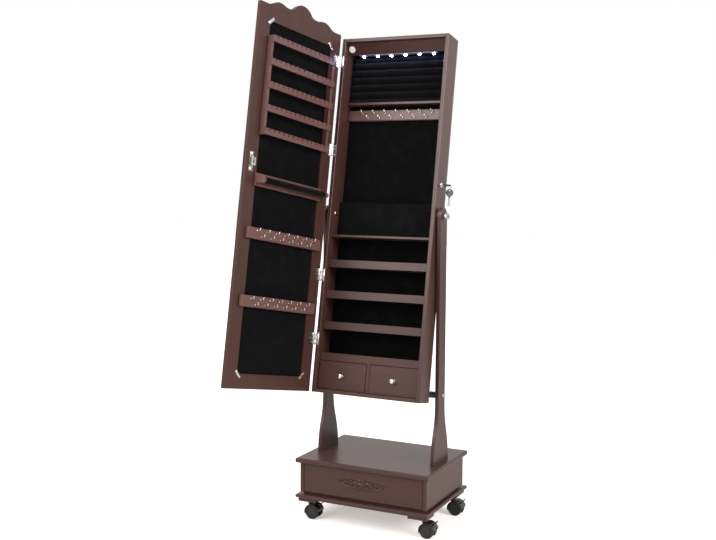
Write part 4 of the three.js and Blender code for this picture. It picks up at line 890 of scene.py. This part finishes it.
@dataclass
class Casters(SubAssembly):
    """Four twin-wheel casters: hub covers and the ribs of the brake tabs."""

    side: float = 200.0
    fore: float = 121.0
    trail: float = 12.0
    ground: float = -205.9
    wheel_radius: float = 23.0
    wheel_width: float = 14.0
    web: float = 9.0
    hub_depth: float = 1.7
    tab_reach: float = 29.7
    tab_angle: float = 47.0
    tab_lean: float = -0.6
    frame: Frame = Frame.BASE

    def build(self) -> None:
        """Dresses each caster and adds its small pieces."""
        for end, fore in (("front", -1), ("back", 1)):
            for side, label in SIDES:
                body = f"caster_{end}_{label}"
                self.dress(BLACK_PLASTIC, f"{body}_housing", f"{body}_brake")
                self.dress(TYRE, f"{body}_wheels")
                axle = Vector((side * self.side + self.trail, fore * self.fore, self.ground + self.wheel_radius))
                self._hub_covers(body, axle)
                self._tab_ribs(body, axle)

    def _hub_covers(self, body: str, axle: Vector) -> None:
        """Adds the stepped hub covers in the wheels' outer faces."""
        reach = self.web / 2 + 1.0 + self.wheel_width - self.hub_depth / 2
        for side, label in ((-1, "front"), (1, "back")):
            cap = Bench.disc(f"{body}_hub_{label}", 15.5, self.hub_depth, sides=40)
            Bench.sunk(cap, upper, 2.0, -0.5)
            Bench.sunk(cap, lambda face: upper(face) and face.center.z < 0.6, 6.0, 0.9)
            Bench.eased(cap, 0.35)
            self.place(cap, BLACK_PLASTIC, f"{body}_wheels",
                       move=Matrix.Translation(axle + Vector((0, side * reach, 0))) @ spin(-side * QUARTER, "X"))

    def _tab_ribs(self, body: str, axle: Vector) -> None:
        """Adds three grip ribs on the brake tab."""
        turn = math.radians(self.tab_angle)
        barrel = axle + Vector((self.tab_reach * math.cos(turn), 0, self.tab_reach * math.sin(turn)))
        ribs = [Bench.eased(Bench.block("rib", (1.1, 11.5, 0.9), (7.0 + 2.4 * i, 0, 3.0)), 0.3) for i in range(3)]
        self.place(Bench.joined(f"{body}_brake_ribs", ribs), BLACK_PLASTIC, f"{body}_brake",
                   move=Matrix.Translation(barrel) @ spin(self.tab_lean, "Y"))


# ------------------------------------------------------------------ cabinet
@dataclass
class HingeHardware(SubAssembly):
    """Plated covers of the cabinet's hinge halves, with screws on both halves."""

    heights: tuple[float, ...] = (495.0, 203.0, -205.0, -410.0)
    length: float = 39.0
    front: float = -34.1
    side: float = -186.0
    cabinet_screws: tuple[float, ...] = (-14.0, 0.0, 14.0)
    door_screws: tuple[tuple[float, float], ...] = ((13.0, 12.0), (24.0, 0.0), (13.0, -12.0))

    def build(self) -> None:
        """Makes one cabinet half, copies it and adds the screws."""
        half = self._cabinet_half()
        screw = Bench.screw(2.6, 0.9)
        for i, height in enumerate(self.heights, 1):
            self.repeat(half, f"cabinet_hinge_{i}", shift(0, 0, height), NICKEL)
            self.dress(NICKEL, f"door_hinge_leaf_{i}", frame=Frame.DOOR)
            for j, step in enumerate(self.cabinet_screws, 1):
                on_half = shift(self.side + 5.6, self.front - 0.492, height + step)
                self.repeat(screw, f"cabinet_hinge_{i}_screw_{j}",
                            on_half @ spin(QUARTER, "X") @ Matrix.Scale(0.72, 4), NICKEL)
            for j, (along, step) in enumerate(self.door_screws, 1):
                on_leaf = shift(along, -0.88, height + step)
                self.repeat(screw, f"door_hinge_{i}_screw_{j}", on_leaf @ spin(-QUARTER, "X"), NICKEL,
                            frame=Frame.DOOR)
        bpy.data.objects.remove(half)
        bpy.data.objects.remove(screw)

    def _cabinet_half(self) -> Piece:
        """Models the plate, the two knuckles and the pin's domed ends."""
        knuckle = self.length / 3 - 0.6
        pin = (self.side - 3, self.front - 1.3)
        plate = Bench.block("plate", (9.9, 1.3, self.length + 0.3), (self.side + 5.1, self.front - 0.37, 0))
        parts = [Bench.eased(plate, 0.35)]
        for end in (-1, 1):
            middle = end * (self.length / 2 - knuckle / 2)
            roll = Bench.disc("roll", 2.72, knuckle + 0.1, (*pin, middle), sides=24)
            link = Bench.block("link", (4.0, 1.1, knuckle), (self.side - 1.2, self.front - 0.55, middle))
            tip = Bench.disc("tip", 1.9, 1.4, (*pin, end * (self.length / 2 + 0.6)), sides=20)
            parts += [Bench.eased(roll, 0.3), Bench.eased(link, 0.15, 1), Bench.eased(tip, 0.5)]
        return Bench.joined("hinge_half", parts)


@dataclass
class Shell(SubAssembly):
    """The cabinet's boards, its velvet back and the tilt hardware."""

    lining: float = 42.2
    wall_face: float = 174.0
    velvet_foot: float = -567.6
    velvet_top: float = 559.6
    knob_face: float = 205.3
    screw_side: float = 178.0
    screw_rows: int = 7
    screw_foot: float = -540.0
    screw_pitch: float = 182.2

    def build(self) -> None:
        """Dresses the boards and adds the velvet back, the knobs' beads and the screws."""
        self.dress(BROWN, "cabinet_side_left", "cabinet_side_right", "cabinet_back", along=Along.Z)
        self.dress(BROWN, "cabinet_top", "cabinet_bottom", "light_fascia", "ring_shelf", "pocket_shelf",
                   *(f"cosmetic_shelf_{i}" for i in range(1, 5)))
        for _, label in SIDES:
            self.dress(NICKEL, f"tilt_bolt_{label}")
            self.dress(CHROME, f"tilt_knob_{label}")
        self._velvet_back()
        self._knob_beads()
        self._back_screws()

    def _velvet_back(self) -> None:
        """Lines the inside of the back board with velvet, as thin as the gap behind the shelves."""
        height = self.velvet_top - self.velvet_foot
        skin = Bench.sheet("velvet_back", 2 * self.wall_face - 0.4, height, 24, 72)
        skin.data.transform(shift(0, self.lining - 0.03, (self.velvet_top + self.velvet_foot) / 2))
        Bench.shaped(skin, "SOLIDIFY", thickness=0.2, offset=1.0)
        self.place(skin, VELVET)

    def _knob_beads(self) -> None:
        """Adds the turned beads round each tilt knob."""
        for side, label in SIDES:
            beads = [Bench.ring("bead", 11.05, 0.5, (side * (self.knob_face + reach), 0, 0), (0, QUARTER, 0))
                     for reach in (5.6, 8.6)]
            self.place(Bench.joined(f"tilt_knob_{label}_beads", beads), CHROME, f"tilt_knob_{label}")

    def _back_screws(self) -> None:
        """Adds the flat screws that hold the back board."""
        screw = Bench.screw(3.2, 0.8)
        for i in range(self.screw_rows):
            for side, label in SIDES:
                on_back = shift(side * self.screw_side, self.lining + 5.0, self.screw_foot + self.screw_pitch * i)
                self.repeat(screw, f"back_screw_{i + 1}_{label}", on_back @ spin(-QUARTER, "X"), NICKEL)
        bpy.data.objects.remove(screw)


@dataclass
class LightUnit(SubAssembly):
    """Lamp strip with lit lenses and the round press switch."""

    count: int = 6
    pitch: float = 49.3
    radius: float = 4.0
    strip_y: float = 4.9
    strip_under: float = 522.7
    switch: Triple = (-160.0, -10.1, 543.2)
    fascia_rise: float = 24.0
    fascia_run: float = 33.0

    def build(self) -> None:
        """Dresses the unit and adds the lenses and the switch's face."""
        # The strip's blue tint is a painted glow of its lamps.
        self.dress(LAMP_BOARD_PAINTED_GLOW, "led_strip")
        self.dress(WHITE_PLASTIC, "light_switch")
        lens = Bench.eased(Bench.disc("lens", self.radius + 0.25, 4.6, sides=28), 1.8, 5, 60)
        for i in range(self.count):
            x = (i - (self.count - 1) / 2) * self.pitch
            self.repeat(lens, f"lamp_lens_{i + 1}", shift(x, self.strip_y, self.strip_under - 2.1), LAMP)
        bpy.data.objects.remove(lens)
        self._switch_face()

    def _switch_face(self) -> None:
        """Adds the dished face of the switch, square to the slope of the fascia."""
        slope = math.atan2(self.fascia_rise, self.fascia_run)
        face = Bench.disc("light_switch_face", 7.4, 1.0, sides=36)
        Bench.eased(Bench.sunk(face, upper, 1.5, -0.5), 0.3)
        outwards = Vector((0, -math.cos(slope), -math.sin(slope)))
        turn = outwards.to_track_quat("Z", "X").to_matrix().to_4x4()
        self.place(face, WHITE_PLASTIC, "light_switch",
                   move=Matrix.Translation(Vector(self.switch) + outwards * 4.9) @ turn)


@dataclass
class RingTray(SubAssembly):
    """The upholstered ring tray: rolls of velvet with a deep slit between each pair."""

    half: float = 173.4
    back: float = 41.7
    front: float = 16.9
    foot: float = 371.4
    height: float = 146.9
    rows: int = 6
    roll_depth: float = 10.0

    def _front_at(self, x: float, rise: float) -> float:
        """Place of the cushion's face, front to back, at a point of its width and height."""
        inset = self.half - abs(x)
        share = 0.35 + 0.65 * min(1.0, inset / 15.0) ** 0.6
        bulge = abs(math.cos(math.pi * rise * self.rows / self.height)) ** 0.42
        core = self.back - self.front - self.roll_depth
        sag = 0.5 * math.sin(0.061 * x + 1.7 * round(rise * self.rows / self.height))
        return self.back - core * (0.6 + 0.4 * share) - (self.roll_depth * bulge - sag * bulge * 0.6) * share

    def build(self) -> None:
        """Swells a gridded block into the rolls."""
        tray = Bench.sheet("ring_tray_velvet", 2 * self.half, self.height, 90, 96)
        bpy.ops.object.mode_set(mode="EDIT")
        bpy.ops.mesh.select_all(action="SELECT")
        bpy.ops.mesh.extrude_region_move(TRANSFORM_OT_translate={"value": (0, self.back, 0)})
        bpy.ops.mesh.select_all(action="SELECT")
        bpy.ops.mesh.normals_make_consistent(inside=False)
        bpy.ops.object.mode_set(mode="OBJECT")
        for vertex in tray.data.vertices:
            rise = vertex.co.z + self.height / 2
            if vertex.co.y < self.back / 2:
                vertex.co.y = self._front_at(vertex.co.x, rise)
            vertex.co.z = self.foot + rise
        self.place(tray, VELVET, smooth=70)
        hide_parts("ring_cushion")
        self.dress(VELVET, "ring_cushion")


@dataclass
class HookRails(SubAssembly):
    """Plated hooks on the necklace rail and on the two rails of the door."""

    pitch: float = 41.0
    row: float = 8.4
    face: float = 6.0

    # node, start of its hooks' names, frame and place of the rail's middle
    RAILS: ClassVar = (
        ("necklace_bar", "necklace_hook", Frame.CABINET, shift(0, 35.9, 330.5)),
        ("door_hook_bar_upper", "door_hook_upper", Frame.DOOR, shift(189, 5.0, -114.5) @ spin(math.pi, "Z")),
        ("door_hook_bar_lower", "door_hook_lower", Frame.DOOR, shift(189, 5.0, -318.5) @ spin(math.pi, "Z")),
    )

    def build(self) -> None:
        """Models one hook and copies it along both rows of each rail."""
        pattern = self._hook()
        for node, label, frame, middle in self.RAILS:
            # The rails take the lighter rail lacquer, which is a painted highlight.
            self.dress(RAIL_BROWN_PAINTED_HIGHLIGHT, node, frame=frame)
            steps = [((i - (count - 1) / 2) * self.pitch, height)
                     for count, height in ((7, self.row), (6, -self.row)) for i in range(count)]
            for number, (step, height) in enumerate(steps, 1):
                self.repeat(pattern, f"{label}_{number}", middle @ shift(step, -self.face, height), NICKEL, 45, frame)
        bpy.data.objects.remove(pattern)

    def _hook(self) -> Piece:
        """The pattern: an upturned wire hook with a small collar, pointing to -Y."""
        wire = Bench.rod("hook", [(0, 0.5, 0), (0, -3, -0.3), (0, -6, -0.45), (0, -9, -0.3), (0, -11.2, 0.9),
                                  (0, -12.0, 3.4), (0, -12.1, 6.6)], 1.78, 12)
        collar = Bench.eased(Bench.disc("collar", 3.0, 0.9, (0, -0.45, 0), (QUARTER, 0, 0), 20), 0.3)
        return Bench.joined("hook_pattern", [wire, collar, Bench.ring("tip", 0.95, 0.85, (0, -12.1, 6.6))])


@dataclass
class Pocket(SubAssembly):
    """The gathered cloth pocket under the necklaces."""

    half: float = 173.3
    front: float = 17.2
    back: float = 41.6
    foot: float = -69.6
    height: float = 109.4
    folds: float = 2.2
    fullness: float = 6.0
    corner: float = 5.5
    wall: float = 0.9
    across: int = 260
    up: int = 44
    hem_steps: int = 150

    @property
    def side(self) -> float:
        """Depth of the pocket's sides."""
        return self.back - self.front

    def _point(self, along: float, share: float) -> Vector:
        """A point of the cloth.

        Args:
            along: Distance along the band from its left end.
            share: Share of its height, from 0 at the foot.

        Returns:
            The point in the cabinet's millimetres.
        """
        side = self.side
        gather = 0.35 + 0.65 * max(0.0, math.sin(math.pi * min(1.0, share * 1.1))) ** 0.7
        if side <= along <= side + 2 * self.half:
            x = along - side - self.half
            edge = min(1.0, (self.half - abs(x)) / 18.0)
            turn = 2 * math.pi * (x + self.half) / (2 * self.half)
            broad = 0.5 - 0.5 * math.cos(self.folds * turn + 2.9 * share)
            slant = 0.5 - 0.5 * math.cos(2.3 * self.folds * turn - 3.4 * share + 0.8 * math.sin(3 * turn))
            pleat = 0.5 - 0.5 * math.cos(16 * self.folds * turn + 2.0 * math.sin(5 * turn))
            top = max(0.0, 1 - (1 - share) / 0.16) ** 0.5 * 0.4
            depth = edge * (self.fullness * gather * (0.66 * broad + 0.34 * slant) + top * pleat - 0.4 * share)
            sag = 1.6 * share * edge * (0.5 - 0.5 * math.cos(turn))
            return Vector((x, self.front + self.corner * (abs(x) / self.half) ** 14 + depth,
                           self.foot + self.height * share - sag * share))
        x = -self.half if along < side else self.half
        reach = side - along if along < side else along - side - 2 * self.half
        inwards = 0.35 * math.sin(math.pi * reach / side) * gather
        return Vector((x - math.copysign(inwards, x), self.front + self.corner + (side - self.corner) * reach / side,
                       self.foot + self.height * share))

    def build(self) -> None:
        """Shapes a gridded sheet into the pocket and hems its mouth."""
        run = 2 * self.half + 2 * self.side
        cloth = Bench.sheet("pocket_cloth", run, self.height, self.across, self.up)
        for vertex in cloth.data.vertices:
            along = min(max(vertex.co.x + run / 2, 0.0), run)
            vertex.co = self._point(along, vertex.co.z / self.height + 0.5)
        Bench.shaped(cloth, "SOLIDIFY", thickness=self.wall, offset=-1.0)
        self.place(cloth, CLOTH, smooth=70)
        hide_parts("fabric_pocket")
        self.dress(CLOTH, "fabric_pocket")
        hem = self._hem()

    def _hem(self) -> Piece:
        """The rolled hem with its elastic along the mouth."""
        points = []
        for i in range(self.hem_steps + 1):
            point = self._point(self.side + 0.5 + (2 * self.half - 1.0) * i / self.hem_steps, 0.985)
            points.append((point.x * 0.9955, point.y + 1.2, point.z - 0.4))
        return self.place(Bench.rod("pocket_hem", points, 1.5, 8), CLOTH, smooth=60)


@dataclass
class SmallDrawers(SubAssembly):
    """The two drawers under the shelves: pulls, rosettes and lining mats."""

    offset: float = 90.0
    face: float = -20.1
    middle: float = -522.85
    floor: float = -561.0

    def build(self) -> None:
        """Dresses the drawers and adds their small pieces."""
        for side, label in SIDES:
            self.dress(BROWN, f"drawer_{label}")
            self.dress(NICKEL, f"drawer_pull_{label}")
            rose = Bench.disc(f"drawer_rose_{label}", 6.4, 1.2, sides=36)
            Bench.eased(Bench.sunk(rose, upper, 1.4, -0.35), 0.25)
            self.place(rose, NICKEL, f"drawer_{label}",
                       move=shift(side * self.offset, self.face - 0.6, self.middle) @ spin(QUARTER, "X"))
            mat = Bench.block(f"drawer_mat_{label}", (149.0, 45.0, 1.2), (side * self.offset, 12.6, self.floor))
            self.place(Bench.eased(mat, 0.4), VELVET, f"drawer_{label}")


@dataclass
class LockSet(SubAssembly):
    """The cam lock's fittings, bare key blades and the split ring."""

    stand: Triple = (186.0, 0.9, 97.0)
    face: float = 2.6
    neck: float = 6.0
    bow: float = 12.0
    hole: float = 25.4
    web: float = 5.973
    ring_middle: float = -4.684
    spare_shoulder: float = -40.18
    notches: tuple[float, ...] = (1.6, 1.0, 1.9, 1.2, 0.8)

    def build(self) -> None:
        """Dresses lock and keys and adds blades, rims and the ring."""
        self.dress(NICKEL, "lock_body", "lock_cam")
        self.dress(KEY_COATING, "door_key", "spare_key")
        lock = Matrix.Translation(self.stand)
        sleeve = Bench.block("door_key_blade", (5.5, 6.3, 2.1), (self.face + 3.1, 0, 0))
        self.place(Bench.eased(sleeve, 0.3), NICKEL, "lock", move=lock)
        self._bow_rim("door_key_rim", "lock", lock @ shift(self.face + self.neck + self.bow, 0, 0))
        spare = lock @ shift(self.face + self.hole, self.web, 0)
        self._spare_blade(spare)
        self._bow_rim("spare_key_rim", "spare_key",
                      spare @ (shift(0, 0, self.spare_shoulder + self.neck + self.bow) @ spin(QUARTER, "X")))
        coils = [Bench.ring("coil", 8.0, 0.42, (x, 0, self.ring_middle), (0, QUARTER, 0)) for x in (-0.42, 0.42)]
        self.place(Bench.joined("split_ring", coils), NICKEL, "spare_key", 60, move=spare)

    def _bow_rim(self, name: str, body: str, place: Matrix) -> None:
        """Adds the raised rim on both faces of a key's bow."""
        rims = [Bench.ring("rim", 10.6, 0.55, (0, 0, side * 1.25)) for side in (-1, 1)]
        self.place(Bench.joined(name, rims), KEY_COATING, body, 60, move=place)

    def _spare_blade(self, place: Matrix) -> None:
        """Adds the notched, grooved blade of the hanging key."""
        blade = Bench.block("spare_key_blade", (6.3, 2.1, 23.8), (0, 0, self.spare_shoulder - 12.1))
        for i, depth in enumerate(self.notches):
            middle = (3.15, 0, self.spare_shoulder - 5.0 - 3.8 * i)
            Bench.cut(blade, Bench.block("notch", (depth * 2, 4, 2.0), middle))
        Bench.cut(blade, Bench.block("groove", (1.1, 0.8, 22.0), (-0.9, -1.05, self.spare_shoulder - 12.0)))
        self.place(blade, KEY_STEEL, "spare_key", move=place)


@dataclass
class Door(SubAssembly):
    """The mirrored door: frame, mirror, velvet lining, holders, clips and striker."""

    middle: float = 189.0
    inner: float = -1.3
    striker: Triple = (354.5, 4.7, 97.0)
    striker_screw: float = 23.0
    clip_size: Triple = (28.0, 1.1, 9.0)
    clip_screw: float = 8.5
    sleeve_middle: Triple = (182.0, 25.0, 46.5)
    frame: Frame = Frame.DOOR

    # x, z and lean of the clips across the corners
    CLIPS: ClassVar = ((325, 534, 1), (50, 534, -1), (325, -535.7, -1), (46, -532, 1))

    def build(self) -> None:
        """Dresses the door and adds its fittings."""
        self.dress(BROWN, "door_frame", along=Along.Z)
        self.dress(MIRROR, "door_mirror")
        self.dress(VELVET, "door_lining")
        # The rack and the bracelet holder take the lighter rail lacquer, which is a painted highlight.
        self.dress(RAIL_BROWN_PAINTED_HIGHLIGHT, "earring_rack", "bracelet_holder")
        self.dress(NICKEL, "door_keeper")
        self._clips()
        self._striker_screws()
        self._bracelet_sleeve()
        bead = Bench.bead("mirror_bead", (270.0, 1.8, 1059.0), 3.3, (self.middle, -16.7, -0.5))
        self.place(Bench.eased(bead, 0.6, 3), BROWN, along=Along.Z)

    def _clips(self) -> None:
        """Adds the four plated clips that hold the panel at its corners, each with two screws."""
        screw = Bench.screw(2.3, 0.8)
        for i, (x, z, lean) in enumerate(self.CLIPS, 1):
            on_corner = shift(x, self.inner + 0.6, z) @ spin(lean * math.pi / 4, "Y")
            clip = Bench.block(f"panel_clip_{i}", self.clip_size)
            self.place(Bench.eased(clip, 0.4), NICKEL, move=on_corner)
            for j, step in enumerate((-self.clip_screw, self.clip_screw), 1):
                self.repeat(screw, f"panel_clip_{i}_screw_{j}",
                            on_corner @ shift(step, 0.5, 0) @ spin(-QUARTER, "X"), NICKEL)
        bpy.data.objects.remove(screw)

    def _striker_screws(self) -> None:
        """Adds the cross slots on the striker's two bosses."""
        screw = Bench.screw(3.4, 0.9)
        x, out, z = self.striker
        for j, step in enumerate((-self.striker_screw, self.striker_screw), 1):
            self.repeat(screw, f"striker_screw_{j}", shift(x, self.inner + out, z + step) @ spin(-QUARTER, "X"), NICKEL)
        bpy.data.objects.remove(screw)

    def _bracelet_sleeve(self) -> None:
        """Wraps the bracelet rod in a velvet sleeve."""
        sleeve = Bench.eased(Bench.disc("bracelet_sleeve", 9.5, 270.0, sides=40), 0.8, 3)
        self.place(sleeve, VELVET, move=Matrix.Translation(self.sleeve_middle) @ spin(QUARTER, "Y"))


# ------------------------------------------------------------------ studio
@dataclass
class Studio:
    """Pale floor, white surroundings, soft lamps and the camera."""

    place: Triple = (1.3765, -2.9873, 0.9124)
    azimuth: float = 26.2
    pitch: float = 5.4
    roll: float = 0.3
    lens: float = 51.8
    target: Triple = (0.0, 0.0, 0.65)

    # name, place, size and power of the lamps
    LAMPS: ClassVar = (
        ("key_lamp", (3.4, -0.9, 2.2), (1.8, 1.8), 150.0),
        ("top_lamp", (-0.4, -0.3, 3.6), (2.0, 2.0), 45.0),
        ("fill_lamp", (-1.45, -3.0, 2.5), (2.0, 2.5), 120.0),
    )

    def build(self) -> None:
        """Sets up everything round the object."""
        self._floor()
        self._surroundings()
        self._lamps()
        self._camera()
        bpy.context.scene.view_settings.view_transform = "Standard"

    def _floor(self) -> None:
        """Adds the floor, which keeps the object's shadow and glows a little to the camera."""
        Bench.clear()
        bpy.ops.mesh.primitive_plane_add(size=24.0, location=(0, 0, GROUND - 0.0004))
        floor = bpy.context.object
        floor.name = "studio_floor"
        material = bpy.data.materials.new("studio_floor")
        material.use_nodes = True
        graph = Graph(material.node_tree)
        seen = graph.add("LightPath").outputs["Is Camera Ray"]
        source = graph.add("TexCoord").outputs["Object"]
        away = graph.add("VectorMath", {0: source}, operation="LENGTH").outputs["Value"]
        glow = graph.times(seen, graph.spread(away, start=1.0, end=4.5, low=0.46, high=1.3))
        shader = material.node_tree.nodes["Principled BSDF"].inputs
        for label, value in {"Base Color": (0.94, 0.905, 0.88, 1.0), "Roughness": 0.75, "Specular IOR Level": 0.2,
                             "Emission Color": (1.0, 0.94, 0.905, 1.0), "Emission Strength": glow}.items():
            graph.feed(shader[label], value)
        floor.data.materials.append(material)

    def _surroundings(self) -> None:
        """Makes the world white to look at and softer as a light."""
        world = bpy.data.worlds.new("studio")
        bpy.context.scene.world = world
        world.use_nodes = True
        graph = Graph(world.node_tree)
        path = graph.add("LightPath").outputs
        seen = graph.calc("MAXIMUM", path["Is Camera Ray"], path["Is Glossy Ray"])
        seen = graph.calc("MAXIMUM", seen, path["Is Transmission Ray"])
        background = world.node_tree.nodes["Background"].inputs
        graph.feed(background["Color"], (1.0, 1.0, 1.0, 1.0))
        graph.feed(background["Strength"], graph.spread(seen, start=0.0, end=1.0, low=0.25, high=1.0))

    def _lamps(self) -> None:
        """Adds the key lamp on the right, a top lamp and a weak fill from the front."""
        for name, spot, size, power in self.LAMPS:
            lamp = bpy.data.lights.new(name, "AREA")
            lamp.energy = power
            lamp.shape = "RECTANGLE"
            lamp.size, lamp.size_y = size
            lamp.color = (1.0, 0.985, 0.965)
            holder = bpy.data.objects.new(name, lamp)
            bpy.context.scene.collection.objects.link(holder)
            holder.location = spot
            holder.rotation_euler = (Vector(self.target) - Vector(spot)).to_track_quat("-Z", "Y").to_euler()

    def _camera(self) -> None:
        """Adds the camera at the photograph's place and angle."""
        turn, dip, lean = math.radians(self.azimuth), math.radians(self.pitch), math.radians(self.roll)
        ahead = Vector((-math.sin(turn) * math.cos(dip), math.cos(turn) * math.cos(dip), -math.sin(dip)))
        right = Vector((math.cos(turn), math.sin(turn), 0.0))
        above = right.cross(ahead)
        across = math.cos(lean) * right + math.sin(lean) * above
        upwards = -math.sin(lean) * right + math.cos(lean) * above
        matrix = Matrix((across, upwards, -ahead)).transposed().to_4x4()
        matrix.translation = Vector(self.place)
        camera = bpy.data.objects.new("camera", bpy.data.cameras.new("camera"))
        bpy.context.scene.collection.objects.link(camera)
        camera.matrix_world = matrix
        camera.data.lens = self.lens
        camera.data.sensor_width = 36.0
        camera.data.clip_start = 0.05
        bpy.context.scene.camera = camera


def main() -> None:
    """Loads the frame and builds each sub-assembly in order."""
    logging.basicConfig(level=logging.INFO, format="%(message)s")
    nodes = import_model()["nodes"]
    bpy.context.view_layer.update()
    Studio().build()
    for kind in (Base, Casters, HingeHardware, Shell, LightUnit, RingTray, HookRails, Pocket, SmallDrawers,
                 LockSet, Door):
        kind(nodes).build()
        LOG.info("built %s", kind.__name__)


if __name__ == "__main__":
    main()
